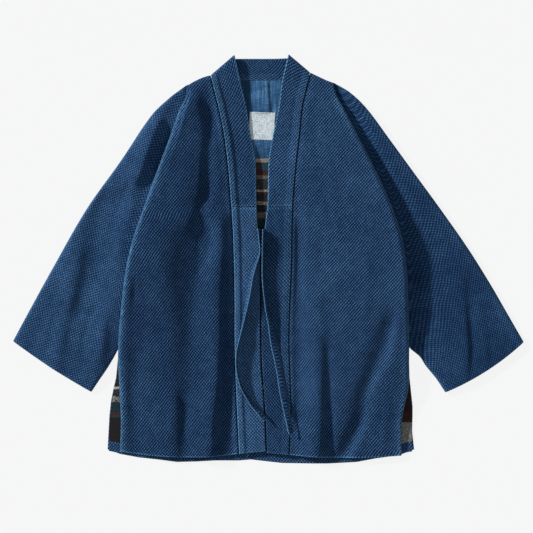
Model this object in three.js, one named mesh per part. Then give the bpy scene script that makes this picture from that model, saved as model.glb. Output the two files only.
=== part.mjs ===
// An indigo haori jacket of thick sashiko cloth, laid flat on its back with the fronts closed.
//
// Millimetres. +X is to the right and +Y towards the collar as seen from above, +Z up.
// The origin is on the underside of the back, on its centre line, halfway between neck seam and hem.
// Left and right are the sides seen from above.
//
// The back and the under layers of the sleeves lie on z = 0. The striped lining, the yoke lining and
// the label lie on the back. The fronts arch over them: low along the bands at the centre, high along
// the sides, where the cloth turns under in a soft roll and meets the sleeve.
import * as THREE from "three";

// Cloth
const CLOTH = 1.6; // thickness of the sashiko cloth
const LINING = 1.0; // thickness of the lining cloths
const BAND = 3.0; // thickness of the collar and bands, which are folded double
const SEAM_GAP = 0.5; // space left between two sewn pieces
const LAYER_GAP = 0.3; // space left between two layers that lie on each other

// The garment
const BACK_LENGTH = 750; // neck seam to hem at the centre of the back
const NECK_SEAM_Y = 348.5; // centre of the back neck seam
const HEM_Y = NECK_SEAM_Y - BACK_LENGTH; // centre of the back hem
const COLLAR_TOP_Y = 391.5; // centre of the back collar's upper edge
const UNDERARM_Y = -151; // where the sleeve seam meets the side seam, measured along the band seam
const BAND_JOIN_Y = 100; // the seam across each band, below which it is a separate piece
const YOKE_END_Y = 196; // lower edge of the yoke lining
const STRIPES_SIDE_END_Y = -350; // the striped lining's sides end here, at the turned-up hem
const FACING_DEPTH = 21; // depth of the turned-up hem of the back
const LINING_INSET = 1.5; // the linings end this far inside the back's edge
const LINING_TOP_Y = 330; // the yoke lining's sides end here, below the shoulder's roll
const LINING_CORNER = { left: -301, right: 295 }; // x of the striped lining's and facing's lower corners
const LABEL = { width: 50, height: 54, thickness: 0.8, x: 0, y: 259, turn: -0.04 };
const TIE = { width: 14, thickness: 2.4, edge: 0.75 }; // edge: share of the thickness at the long edges

// A list of points in plan from pairs of x and y, and a list of rows from their values under named columns.
const at = (...pairs) => pairs.map(([x, y]) => ({ x, y }));
const table = (columns, ...rows) => rows.map((row) => Object.fromEntries(columns.map((name, i) => [name, row[i]])));

// Heights that the layers share
const LINING_Z = CLOTH + LAYER_GAP;
const LINING_TOP_Z = LINING_Z + LINING;
const LABEL_Z = LINING_TOP_Z + LAYER_GAP;
const ARMHOLE_Z = 7.2; // top of the sleeve where it meets the body

// Each front, a row for each level. along: y on the band seam. seamX: the seam's x. edgeX, edgeY: the
// outermost point of the side roll. seamZ, middleZ, edgeZ: heights of the cloth's face. underZ: the
// underside of the roll. lap: how far inside the roll's edge the sleeve is sewn on.
const FRONT = {
  left: table(
    ["along", "seamX", "edgeX", "edgeY", "seamZ", "middleZ", "edgeZ", "underZ", "lap"],
    [-384,  -45, -279, -380, 12, 13,  9, 3.8,  5],
    [-327,  -48, -277, -320, 12, 18, 13, 3.8,  6],
    [-259,  -51, -280, -249, 12, 22, 20, 4.2,  7],
    [-204,  -53, -282, -196, 13, 25, 26, 7.8,  8],
    [-151,  -54, -280, -147, 13, 27, 31, 7.8, 10],
    [ -88,  -54, -275,  -96, 13, 28, 35, 7.8, 12],
    [ -20,  -55, -267,  -27, 13, 28, 38, 7.8, 12],
    [  45,  -57, -251,   41, 14, 28, 38, 7.8, 12],
    [ 110,  -61, -227,  110, 15, 27, 36, 7.8, 12],
    [ 182,  -67, -201,  182, 16, 25, 32, 7.8, 11],
    [ 245,  -75, -179,  241, 16, 23, 28, 7.8,  9],
    [ 294,  -85, -162,  290, 16, 20, 23, 7.8,  6],
    [ 325,  -93, -150,  317, 15, 17, 17, 6.5,  2],
    [ 359, -101, -148,  339, 14, 14, 13, 4.0, -1],
  ),
  right: table(
    ["along", "seamX", "edgeX", "edgeY", "seamZ", "middleZ", "edgeZ", "underZ", "lap"],
    [-386, 52, 274, -388, 12, 14,  9, 3.8,  5],
    [-327, 55, 274, -325, 12, 19, 14, 3.8,  6],
    [-292, 56, 280, -288, 12, 22, 17, 3.8,  6],
    [-259, 55, 287, -256, 12, 24, 21, 4.2,  7],
    [-204, 53, 288, -202, 12, 27, 28, 7.8,  8],
    [-151, 52, 288, -147, 12, 29, 34, 7.8, 10],
    [ -88, 54, 286,  -94, 12, 29, 42, 7.8, 12],
    [ -20, 57, 283,  -27, 12, 30, 46, 7.8, 12],
    [  45, 58, 273,   41, 12, 30, 46, 7.8, 12],
    [ 110, 60, 250,  110, 12, 29, 43, 7.8, 12],
    [ 182, 66, 217,  182, 13, 26, 37, 7.8, 11],
    [ 245, 73, 187,  241, 13, 22, 30, 7.8,  9],
    [ 294, 78, 162,  290, 13, 19, 23, 7.8,  6],
    [ 325, 85, 148,  316, 13, 16, 17, 6.5,  2],
    [ 364, 95, 140,  344, 12, 13, 13, 4.0, -1],
  ),
};
const HEM_DIP = { left: 9, right: 5 }; // how far each front's hem sags between its two edges
const HEM_DIP_FADE = 90; // the sag dies away over this height
const SHOULDER_BOW = { left: 3, right: 0.5, fade: 60 }; // how far the shoulder line curves up, and its reach down
const SHOULDER_CORNER = { out: 1, down: 3 }; // where the back's shoulder line starts, beside the collar
const SHOULDER_ROLL = 12; // depth over which a front turns down to the back at the shoulder
const SHOULDER_END_Z = { seam: 2.4, edge: 9.4 }; // face heights on the shoulder line
const ROLL_REACH = 9; // most that the side roll reaches outwards from its centre
const ROLL_DEPTH = 5; // least height of the side roll
const ROLL_TUCK = { past: 5, least: 2 }; // the turned-under cloth ends this far past the armhole seam
// No folds in these shares of a front beside its seam and roll, and this near a sleeve's long edges.
const FOLD_CALM = { seam: 0.06, roll: 0.1, edge: 25 };
const SHOULDER_SHARE = 0.55; // the shoulder line rises over the sleeve from this share of the front's width

// Soft folds of the fronts and sleeves: a crest or trough that runs along a path from its lower end up.
// rise: height, negative for a trough. left, right: how wide each slope is.
const FOLDS = {
  front_left: [
    { rise: 9, left: 50, right: 18, path: at(
      [-150, 60], [-130, 125], [-124, 192], [-120, 250], [-136, 322],
    ) },
    { rise: -3, left: 14, right: 12, path: at([-108, 110], [-107, 192], [-101, 250], [-112, 315]) },
    { rise: 7, left: 18, right: 17, path: at(
      [-110, -400], [-107, -320], [-100, -240], [-95, -160], [-93, -82], [-90, 0], [-88, 84],
    ) },
    { rise: 5, left: 40, right: 36, path: at(
      [-152, -200], [-164, -150], [-184, -72], [-196, -4], [-202, 66],
    ) },
    { rise: 4, left: 22, right: 13, path: at([-168, -400], [-168, -330], [-172, -260]) },
    { rise: 2.5, left: 12, right: 10, path: at([-240, -190], [-240, -130], [-238, -80]) },
  ],
  front_right: [
    { rise: 7, left: 26, right: 15, path: at(
      [109, -400], [113, -320], [115, -240], [114, -140], [108, -70],
    ) },
    { rise: -6, left: 24, right: 14, path: at(
      [152, -400], [178, -350], [200, -315], [204, -275], [214, -225], [238, -165], [256, -110],
    ) },
    { rise: -3, left: 8, right: 12, path: at([62, -400], [66, -280], [66, -140], [68, 16], [69, 140]) },
  ],
  sleeve_left: [
    { rise: 5, left: 36, right: 24, path: at([-262, 20], [-243, 120], [-222, 210], [-204, 270]) },
    { rise: 3, left: 18, right: 13, path: at([-400, -230], [-388, -150], [-372, -60], [-355, 20]) },
    { rise: 3, left: 16, right: 14, path: at([-330, -230], [-310, -150], [-292, -80]) },
  ],
  sleeve_right: [
    { rise: 4, left: 34, right: 11, path: at([404, -240], [398, -130], [390, -40]) },
    { rise: 2.5, left: 26, right: 20, path: at([355, -200], [348, -120], [340, -30]) },
  ],
};
const FOLD_FADE = 45; // a fold dies away over this length at its ends

// The sleeves. outer: the fold along the top of the arm, from cuff to shoulder. inner: the underarm seam,
// from cuff to body; both end where the armhole begins. bow: how far the cuff curves out between its corners.
const SLEEVE = {
  left: {
    bow: 3,
    outer: at([-489, -163], [-455, -100], [-412, -22], [-345, 95], [-277, 191], [-217, 280], [-181, 315]),
    inner: at([-335, -263], [-321, -242], [-302, -214], [-283, -180]),
  },
  right: {
    bow: 8,
    outer: at(
      [514, -165], [480, -106], [450, -54], [405, 18], [354, 91], [303, 161], [252, 231], [206, 293],
      [173, 325],
    ),
    inner: at([360, -264], [342, -237], [321, -211], [310, -194], [288, -174]),
  },
};
// Height of a sleeve's upper layer from the cuff (t = 0) to the armhole (t = 1).
const SLEEVE_HEIGHT = table(["t", "z"], [0, 10.5], [0.15, 12.5], [0.5, 15], [0.8, 15], [1, 12]);
const SLEEVE_EDGE = 9; // depth of the rounding along a sleeve's two long edges
const SLEEVE_CROWN = 0.15; // share by which a sleeve is higher along its middle
const ARMHOLE_FALL = { start: 3, end: 34 }; // distances from the roll between which the sleeve falls to it

// The free edge of each band, a row for each level. y: place on the free edge. level: the y on the band
// seam across from it. z: height of its face.
const FREE_EDGE = {
  left: table(
    ["level", "x", "y", "z"],
    [-384,   7, -379, 12.5],
    [-327,   5, -327,   12],
    [-259,   1, -259,   13],
    [-204,  -3, -204,   13],
    [ -88,  -4,  -88,   13],
    [   0,  -4,    0,   13],
    [  40,  -5,   40,   14],
    [  65,  -9,   65,   14],
    [ 110, -11,  110,   12],
    [ 182, -13,  190,   10],
    [ 245, -22,  238,   10],
    [ 294, -31,  297,   12],
    [ 325, -41,  340,   15],
    [ 359, -54,  399,   16],
  ),
  right: table(
    ["level", "x", "y", "z"],
    [-386,   10, -382,  12],
    [-327,    8, -327,  12],
    [-259,    4, -259,  12],
    [-204,    0, -204,  12],
    [ -88,   -1,  -88,  12],
    [   0, -0.5,    0,  12],
    [  40,    2,   40,  13],
    [  65,    6,   65,  13],
    [ 110,   11,  110,  11],
    [ 182,   13,  190, 9.5],
    [ 245,   21,  238, 9.5],
    [ 294,   33,  297,  11],
    [ 325,   39,  345,  14],
    [ 364,   52,  400,  16],
  ),
};
const SEAM_RIDGE = { height: 1.3, width: 10, slope: 5 }; // the seam allowance's ridge along the band seam

// The ties. x, y: the route. turn: how far the tie stands on its edge, in degrees; 0 lies flat.
const TIES = {
  left: table(
    ["x", "y", "turn"],
    [-13,   56,  8],
    [ -5,   26, 35],
    [ -8,    0, 55],
    [-15,  -31, 58],
    [-24,  -63, 56],
    [-31,  -92, 58],
    [-38, -122, 64],
    [-44, -146, 70],
    [-49, -175, 78],
    [-50, -204, 80],
    [-47, -235, 80],
    [-39, -261, 76],
    [-27, -283, 66],
    [-12, -302, 45],
    [  3, -317, 25],
  ),
  right: table(
    ["x", "y", "turn"],
    [13,   50, -20],
    [ 7,   20, -60],
    [ 3,  -12, -78],
    [ 3,  -45, -80],
    [ 6,  -80, -76],
    [12, -115, -62],
    [19, -150, -42],
    [27, -182, -24],
    [32, -215, -16],
    [37, -250, -16],
    [41, -282, -24],
    [46, -313, -42],
    [52, -343, -56],
  ),
};
const TIE_CLEARANCE = 0.5; // space between a tie and the band that it lies on

// The back's side below the underarm and its hem, from the left underarm round to the right one.
const BACK_SIDE = {
  left: at(
    [-283, -196], [-287, -235], [-292, -257], [-297, -282], [-300, -310], [-302, -347], [-303.5, -376],
  ),
  right: at([289, -196], [290, -235], [293, -263], [296, -291], [296, -310], [295, -340], [299, -376]),
};
const BACK_HEM = at(
  [-303, -380], [-280, -385], [-242, -392], [-205, -396], [-167, -401], [-130, -400], [-92, -398],
  [-45, -398], [-22, -396], [13, HEM_Y + 1.5], [40, -403], [100, -404], [130, -404], [186, -401],
  [223, -394], [253, -390], [277, -385], [297, -381],
);

// How finely each piece is divided
const ROWS = { front: 23, sleeve: 11, band: 12, collar: 8, collarBack: 8, tie: 26 };
const SHOULDER_LEVELS = [0.72, 0.45, 0.2, 0.06, 0]; // shares of the shoulder's roll
const FRONT_COLUMNS = 16;
const ROLL_STEPS = 6;
const EDGE_STEP = 3; // distance over which the direction of a side roll is measured
const BAND_COLUMNS = [0, 0.14, 0.27, 0.36, 0.6, 0.85, 1]; // shares of the band's width, closer at the ridge
const SLEEVE_END_RINGS = [0.9, 0.925, 0.95, 0.975, 1]; // shares of the sleeve's length near the armhole
const SLEEVE_TOP_COLUMNS = 10;
const SLEEVE_UNDER_COLUMNS = 6;
const EDGE_STEPS = 3;

const mix = (a, b, k) => a + (b - a) * k;
const clamp01 = (k) => Math.min(1, Math.max(0, k));
const smooth = (k) => clamp01(k) ** 2 * (3 - 2 * clamp01(k));
const roundEdge = (depth) => Math.sqrt(1 - (1 - clamp01(depth)) ** 2); // a quarter circle, 0 at the edge
const steps = (count) => Array.from({ length: count + 1 }, (_, i) => i / count);

// The value of rows[key] at rows[by] = at, on a smooth curve through the rows.
function through(rows, by, key, at) {
  let i = 0;
  while (i < rows.length - 2 && at > rows[i + 1][by]) i += 1;
  const slope = (k) => {
    const before = rows[Math.max(0, k - 1)];
    const after = rows[Math.min(rows.length - 1, k + 1)];
    return (after[key] - before[key]) / (after[by] - before[by]);
  };
  const span = rows[i + 1][by] - rows[i][by];
  const k = clamp01((at - rows[i][by]) / span);
  const start = (1 + 2 * k) * (1 - k) ** 2 * rows[i][key] + k * (1 - k) ** 2 * span * slope(i);
  const end = k ** 2 * (3 - 2 * k) * rows[i + 1][key] + k ** 2 * (k - 1) * span * slope(i + 1);
  return start + end;
}

// A smooth curve through points, as a function of the share of its length; other columns follow too.
function rail(points, keys = ["x", "y"]) {
  let travelled = 0;
  const rows = points.map((p, i) => {
    if (i > 0) travelled += Math.hypot(p.x - points[i - 1].x, p.y - points[i - 1].y);
    return { ...p, travelled };
  });
  const valueOf = (key, share) => through(rows, "travelled", key, share * travelled);
  return (share) => Object.fromEntries(keys.map((key) => [key, valueOf(key, share)]));
}

// Height that the folds of one piece add at x, y.
function folded(folds, x, y) {
  let z = 0;
  for (const fold of folds) {
    const low = fold.path[0].y;
    const high = fold.path[fold.path.length - 1].y;
    const off = x - through(fold.path, "y", "x", y);
    const width = off < 0 ? fold.left : fold.right;
    const ends = smooth((y - low) / FOLD_FADE + 0.5) * smooth((high - y) / FOLD_FADE + 0.5);
    z += fold.rise * Math.exp(-((off / width) ** 2)) * ends;
  }
  return z;
}

const outwards = { left: -1, right: 1 }; // the way each side points along X
const rowAt = (side, key, along) => through(FRONT[side], "along", key, along);
const firstRow = (side) => FRONT[side][0];
const lastRow = (side) => FRONT[side][FRONT[side].length - 1];

// The outermost point of a front's side roll at a level, and the direction that points outwards there.
function sideEdge(side, along) {
  const from = Math.max(firstRow(side).along, Math.min(along, lastRow(side).along) - EDGE_STEP);
  const dx = rowAt(side, "edgeX", from + EDGE_STEP) - rowAt(side, "edgeX", from);
  const dy = rowAt(side, "edgeY", from + EDGE_STEP) - rowAt(side, "edgeY", from);
  const length = Math.hypot(dx, dy);
  return {
    x: rowAt(side, "edgeX", along),
    y: rowAt(side, "edgeY", along),
    outX: (outwards[side] * dy) / length,
    outY: (-outwards[side] * dx) / length,
  };
}

// The armhole seam: where the sleeve is sewn on under the roll, from the shoulder (0) to the underarm (1).
// inset moves the line towards the middle of the body.
function armhole(side, share, inset = 0) {
  const along = mix(lastRow(side).along, UNDERARM_Y, share);
  const edge = sideEdge(side, along);
  const inside = rowAt(side, "lap", along) + inset;
  return { x: edge.x - edge.outX * inside, y: edge.y - edge.outY * inside };
}

// Outer grid to inner grid: every point moved inwards along the sheet's own normal. ring: the columns close
// on themselves. facing: 1 where rows and columns run round the outside like x and y, otherwise -1.
function moveInwards(outer, thickness, ring, facing) {
  const rows = outer.length;
  const columns = outer[0].length;
  const columnAt = (j) => (ring ? (j + columns) % columns : Math.min(columns - 1, Math.max(0, j)));
  return outer.map((line, i) =>
    line.map((point, j) => {
      const across = outer[i][columnAt(j + 1)].clone().sub(outer[i][columnAt(j - 1)]);
      const lengthways = outer[Math.min(rows - 1, i + 1)][j].clone().sub(outer[Math.max(0, i - 1)][j]);
      const normal = across.cross(lengthways).normalize();
      return point.clone().addScaledVector(normal, -thickness * facing);
    }),
  );
}

// A closed wall between an outer and an inner grid of points.
function wall(outer, inner) {
  const rows = outer.length;
  const columns = outer[0].length;
  const positions = [...outer.flat(), ...inner.flat()].flatMap((p) => [p.x, p.y, p.z]);
  const outerAt = (i, j) => i * columns + j;
  const innerAt = (i, j) => rows * columns + outerAt(i, j);
  const index = [];
  const quad = (a, b, c, d) => index.push(a, b, c, a, c, d);
  const spans = columns - 1;
  for (let i = 0; i < rows - 1; i += 1) {
    for (let j = 0; j < spans; j += 1) {
      quad(outerAt(i, j), outerAt(i, j + 1), outerAt(i + 1, j + 1), outerAt(i + 1, j));
      quad(innerAt(i, j), innerAt(i + 1, j), innerAt(i + 1, j + 1), innerAt(i, j + 1));
    }
    quad(outerAt(i, 0), outerAt(i + 1, 0), innerAt(i + 1, 0), innerAt(i, 0));
    quad(outerAt(i + 1, spans), outerAt(i, spans), innerAt(i, spans), innerAt(i + 1, spans));
  }
  for (let j = 0; j < spans; j += 1) {
    quad(outerAt(0, j + 1), outerAt(0, j), innerAt(0, j), innerAt(0, j + 1));
    quad(outerAt(rows - 1, j), outerAt(rows - 1, j + 1), innerAt(rows - 1, j + 1), innerAt(rows - 1, j));
  }
  const geometry = new THREE.BufferGeometry();
  geometry.setAttribute("position", new THREE.Float32BufferAttribute(positions, 3));
  geometry.setIndex(signedVolume(positions, index) < 0 ? turnedRound(index) : index);
  geometry.computeVertexNormals();
  return geometry;
}

function signedVolume(positions, index) {
  let six = 0;
  const corner = (k) => new THREE.Vector3().fromArray(positions, 3 * index[k]);
  for (let k = 0; k < index.length; k += 3) six += corner(k).dot(corner(k + 1).cross(corner(k + 2)));
  return six;
}

function turnedRound(index) {
  const turned = [...index];
  for (let k = 0; k < turned.length; k += 3) [turned[k + 1], turned[k + 2]] = [turned[k + 2], turned[k + 1]];
  return turned;
}

// A flat piece of cloth with this outline, lying at height z.
function flatPiece(outline, thickness, z) {
  const shape = new THREE.Shape(outline.map((p) => new THREE.Vector2(p.x, p.y)));
  const geometry = new THREE.ExtrudeGeometry(shape, { depth: thickness, bevelEnabled: false });
  geometry.translate(0, 0, z);
  return geometry;
}

// Height of a front's face. u: 0 at the band seam, 1 where the side roll begins.
function frontZ(side, along, u, x, y) {
  const [seam, middle, edge] = ["seamZ", "middleZ", "edgeZ"].map((key) => rowAt(side, key, along));
  const body = seam * (1 - u) * (1 - 2 * u) + middle * 4 * u * (1 - u) + edge * u * (2 * u - 1);
  const calm = smooth(u / FOLD_CALM.seam) * smooth((1 - u) / FOLD_CALM.roll);
  const face = body + folded(FOLDS[`front_${side}`], x, y) * calm;
  const overSleeve = smooth((u - SHOULDER_SHARE) / (1 - SHOULDER_SHARE));
  const endZ = mix(SHOULDER_END_Z.seam, SHOULDER_END_Z.edge, overSleeve);
  return mix(endZ, face, roundEdge((lastRow(side).along - along) / SHOULDER_ROLL));
}

// One level of a front: from the band seam across to the side, round the roll and back under it.
function frontLine(side, along) {
  const seam = { x: rowAt(side, "seamX", along), y: along };
  const edge = sideEdge(side, along);
  const topZ = frontZ(side, along, 1, edge.x, edge.y);
  const underZ = Math.min(rowAt(side, "underZ", along), topZ - ROLL_DEPTH);
  const half = (topZ - underZ) / 2;
  const reach = Math.min(half, ROLL_REACH);
  const centre = { x: edge.x - edge.outX * reach, y: edge.y - edge.outY * reach };
  const dip = HEM_DIP[side] * (1 - smooth((along - firstRow(side).along) / HEM_DIP_FADE));
  const bow = SHOULDER_BOW[side] * smooth(1 - (lastRow(side).along - along) / SHOULDER_BOW.fade);
  const line = steps(FRONT_COLUMNS).map((u) => {
    const x = mix(seam.x, centre.x, u);
    const y = mix(seam.y, centre.y, u) + (bow - dip) * 4 * u * (1 - u);
    return new THREE.Vector3(x, y, frontZ(side, along, u, x, y));
  });
  for (let k = 1; k <= ROLL_STEPS; k += 1) {
    const angle = Math.PI / 2 - (k * Math.PI) / ROLL_STEPS;
    const out = reach * Math.cos(angle);
    const z = underZ + half + half * Math.sin(angle);
    line.push(new THREE.Vector3(centre.x + edge.outX * out, centre.y + edge.outY * out, z));
  }
  const tuck = Math.max(ROLL_TUCK.least, rowAt(side, "lap", along) + ROLL_TUCK.past - reach);
  line.push(new THREE.Vector3(centre.x - edge.outX * tuck, centre.y - edge.outY * tuck, underZ));
  return line;
}

// Levels of a front, closer together where it turns down at the shoulder.
function frontLevels(side) {
  const last = lastRow(side).along;
  const lower = steps(ROWS.front).map((k) => mix(firstRow(side).along, last - SHOULDER_ROLL, k));
  return [...lower, ...SHOULDER_LEVELS.map((share) => last - SHOULDER_ROLL * share)];
}

function front(side) {
  const outer = frontLevels(side).map((along) => frontLine(side, along));
  return wall(outer, moveInwards(outer, CLOTH, false, outwards[side]));
}

// Plan of a sleeve: a patch between cuff, outer fold, underarm seam and armhole.
// s: 0 at the outer fold, 1 at the underarm seam. t: 0 at the cuff, 1 at the armhole.
function sleevePlan(side) {
  const { bow, outer, inner } = SLEEVE[side];
  const outerRail = rail([...outer, armhole(side, 0)]);
  const innerRail = rail([...inner, armhole(side, 1)]);
  const corner = [outerRail(0), innerRail(0), outerRail(1), innerRail(1)];
  const chord = Math.hypot(corner[1].x - corner[0].x, corner[1].y - corner[0].y);
  const out = {
    x: (outwards[side] * Math.abs(corner[1].y - corner[0].y)) / chord,
    y: -Math.abs(corner[1].x - corner[0].x) / chord,
  };
  const cuff = (s) => ({
    x: mix(corner[0].x, corner[1].x, s) + out.x * bow * 4 * s * (1 - s),
    y: mix(corner[0].y, corner[1].y, s) + out.y * bow * 4 * s * (1 - s),
  });
  return (s, t) => {
    const place = (axis) =>
      mix(outerRail(t)[axis], innerRail(t)[axis], s) +
      mix(cuff(s)[axis], armhole(side, s)[axis], t) -
      mix(mix(corner[0][axis], corner[1][axis], s), mix(corner[2][axis], corner[3][axis], s), t);
    return { x: place("x"), y: place("y") };
  };
}

// Places across one layer of a sleeve of this width, closer together at its rounded edges.
function sleeveShares(width, columns) {
  const edgeShare = SLEEVE_EDGE / width;
  const rounding = steps(EDGE_STEPS).slice(0, -1).map((k) => edgeShare * (1 - Math.cos((k * Math.PI) / 2)));
  const flat = steps(columns).map((k) => mix(edgeShare, 1 - edgeShare, k));
  return [...rounding, ...flat, ...[...rounding].reverse().map((s) => 1 - s)];
}

const across = (plan, t) => Math.hypot(plan(1, t).x - plan(0, t).x, plan(1, t).y - plan(0, t).y);

// How far a point lies outside the edge of a front's side roll.
function outsideRoll(side, x, y) {
  const edge = sideEdge(side, y);
  return (x - edge.x) * edge.outX + (y - edge.y) * edge.outY;
}

// A ring round a sleeve: over the upper layer from the outer fold, and back under it.
function sleeveRing(side, plan, t) {
  const width = across(plan, t);
  const over = sleeveShares(width, SLEEVE_TOP_COLUMNS);
  const under = sleeveShares(width, SLEEVE_UNDER_COLUMNS).slice(1, -1).reverse();
  const point = (s, up) => {
    const { x, y } = plan(s, t);
    const crown = 1 + SLEEVE_CROWN * (Math.sin(Math.PI * s) - 1);
    const calm = roundEdge((Math.min(s, 1 - s) * width) / FOLD_CALM.edge);
    const free = through(SLEEVE_HEIGHT, "t", "z", t) * crown + folded(FOLDS[`sleeve_${side}`], x, y) * calm;
    const away = outsideRoll(side, x, y) - ARMHOLE_FALL.start;
    const height = mix(ARMHOLE_Z, free, smooth(away / (ARMHOLE_FALL.end - ARMHOLE_FALL.start)));
    const rounded = roundEdge((Math.min(s, 1 - s) * width) / SLEEVE_EDGE);
    return new THREE.Vector3(x, y, (height / 2) * (up ? 1 + rounded : 1 - rounded));
  };
  return [...over.map((s) => point(s, true)), ...under.map((s) => point(s, false))];
}

// Places of the rings along a sleeve, closer together where it falls to the armhole.
const SLEEVE_RINGS = [...steps(ROWS.sleeve).map((k) => k * SLEEVE_END_RINGS[0]), ...SLEEVE_END_RINGS.slice(1)];

// Some columns of a sleeve's rings. Those at the two ends are lifted, so that two layers don't touch there.
function layer(rings, columns, lift) {
  const onEdge = (k) => k === 0 || k === columns.length - 1;
  return rings.map((ring) => columns.map((j, k) => ring[j].clone().setZ(ring[j].z + (onEdge(k) ? lift : 0))));
}

// A sleeve's upper and under layers, which meet halfway up its outer fold and its underarm seam.
function sleeve(side) {
  const plan = sleevePlan(side);
  const outer = SLEEVE_RINGS.map((t) => sleeveRing(side, plan, t));
  const inner = moveInwards(outer, CLOTH, true, -outwards[side]);
  const columns = outer[0].map((_, j) => j);
  const seam = SLEEVE_TOP_COLUMNS + 2 * EDGE_STEPS;
  const over = columns.slice(0, seam + 1);
  const under = [...columns.slice(seam), 0];
  const both = (chosen, lift) => wall(layer(outer, chosen, lift), layer(inner, chosen, lift));
  return { upper: both(over, SEAM_GAP / 2), under: both(under, -SEAM_GAP / 2) };
}

// A point of a band's face: s is 0 on the band seam and 1 on the free edge.
function bandPoint(side, level, s) {
  const free = (key) => through(FREE_EDGE[side], "level", key, level);
  const seam = { x: rowAt(side, "seamX", level) - outwards[side] * SEAM_GAP, y: level };
  const width = Math.hypot(free("x") - seam.x, free("y") - seam.y);
  const ridge = SEAM_RIDGE.height * (1 - smooth((s * width - SEAM_RIDGE.width) / SEAM_RIDGE.slope));
  const z = mix(rowAt(side, "seamZ", level), free("z"), s) + ridge;
  return new THREE.Vector3(mix(seam.x, free("x"), s), mix(seam.y, free("y"), s), z);
}

// The lower part of a band, from the hem up to the seam across it.
function band(side) {
  const levels = steps(ROWS.band).map((k) => mix(firstRow(side).along, BAND_JOIN_Y - SEAM_GAP / 2, k));
  const outer = levels.map((level) => BAND_COLUMNS.map((s) => bandPoint(side, level, s)));
  const inner = outer.map((line) => line.map((p) => new THREE.Vector3(p.x, p.y, p.z - BAND)));
  return wall(outer, inner);
}

// The upper part of one band, up to the shoulder and over it to the back: pairs of outer and inner lines.
function collarSide(side) {
  const last = lastRow(side).along;
  const levels = steps(ROWS.collar).map((k) => mix(BAND_JOIN_Y + SEAM_GAP / 2, last - SHOULDER_ROLL, k));
  const lines = levels.map((level) => {
    const outer = BAND_COLUMNS.map((s) => bandPoint(side, level, s));
    return { outer, inner: outer.map((p) => new THREE.Vector3(p.x, p.y, p.z - BAND)) };
  });
  const start = lines[lines.length - 1].outer;
  for (let k = 1; k <= ROLL_STEPS; k += 1) {
    const angle = Math.PI / 2 - (k * Math.PI) / ROLL_STEPS;
    const turned = (radius) =>
      BAND_COLUMNS.map((s, j) => {
        const end = bandPoint(side, last, s);
        const half = start[j].z / 2;
        const away = new THREE.Vector3(end.x - start[j].x, end.y - start[j].y, 0);
        const reach = Math.max(0, away.length() - half);
        away.normalize();
        const onFold = start[j].clone().addScaledVector(away, reach + (half - radius) * Math.cos(angle));
        return onFold.setZ(half + (half - radius) * Math.sin(angle));
      });
    lines.push({ outer: turned(0), inner: turned(BAND) });
  }
  return lines;
}

// The collar: up the left band, over the shoulder, across the back neck and down the right band.
function collarLines() {
  const left = collarSide("left");
  const right = collarSide("right").reverse();
  const from = left[left.length - 1].outer;
  const to = right[0].outer;
  const acrossNeck = steps(ROWS.collarBack).slice(1, -1).map((k) => {
    const line = BAND_COLUMNS.map((s, j) => {
      const x = mix(from[j].x, to[j].x, k);
      const level = mix(NECK_SEAM_Y + SEAM_GAP, COLLAR_TOP_Y, s);
      const ends = mix(from[j].y, to[j].y, k);
      return new THREE.Vector3(x, mix(ends, level, smooth(4 * k * (1 - k))), 0);
    });
    return { outer: line, inner: line.map((p) => new THREE.Vector3(p.x, p.y, BAND)) };
  });
  return [...left, ...acrossNeck, ...right];
}

function collar() {
  const lines = collarLines();
  return wall(lines.map((l) => l.outer), lines.map((l) => l.inner));
}

// Face height of the bands under a tie at x, y. Just past its edges a band still counts.
function bandTop(x, y) {
  const past = 0.2;
  const heights = ["left", "right"].map((side) => {
    const seamX = rowAt(side, "seamX", y);
    const freeX = through(FREE_EDGE[side], "level", "x", y);
    const s = (x - seamX) / (freeX - seamX);
    return s < -past || s > 1 + past ? 0 : bandPoint(side, y, clamp01(s)).z;
  });
  return Math.max(...heights);
}

// A tie: a flat ribbon that turns on its edge as it lies over the bands.
function tie(side) {
  const route = rail(TIES[side], ["x", "y", "turn"]);
  const section = [[-1, -TIE.edge], [0, -1], [1, -TIE.edge], [1, TIE.edge], [0, 1], [-1, TIE.edge]];
  const step = 1 / ROWS.tie;
  const rings = steps(ROWS.tie).map((share) => {
    const here = route(share);
    const ahead = route(Math.min(1, share + step));
    const behind = route(Math.max(0, share - step));
    const onwards = new THREE.Vector3(ahead.x - behind.x, ahead.y - behind.y, 0).normalize();
    const sideways = new THREE.Vector3(onwards.y, -onwards.x, 0);
    const turn = THREE.MathUtils.degToRad(here.turn);
    const across = sideways.clone().multiplyScalar(Math.cos(turn)).setZ(Math.sin(turn));
    const faceOut = sideways.clone().multiplyScalar(-Math.sin(turn)).setZ(Math.cos(turn));
    const corners = section.map(([w, d]) =>
      new THREE.Vector3(here.x, here.y, 0)
        .addScaledVector(across, (w * TIE.width) / 2)
        .addScaledVector(faceOut, (d * TIE.thickness) / 2),
    );
    const lift = Math.max(...corners.map((p) => bandTop(p.x, p.y) + TIE_CLEARANCE - p.z));
    return corners.map((p) => p.setZ(p.z + lift));
  });
  return tube(rings);
}

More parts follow.
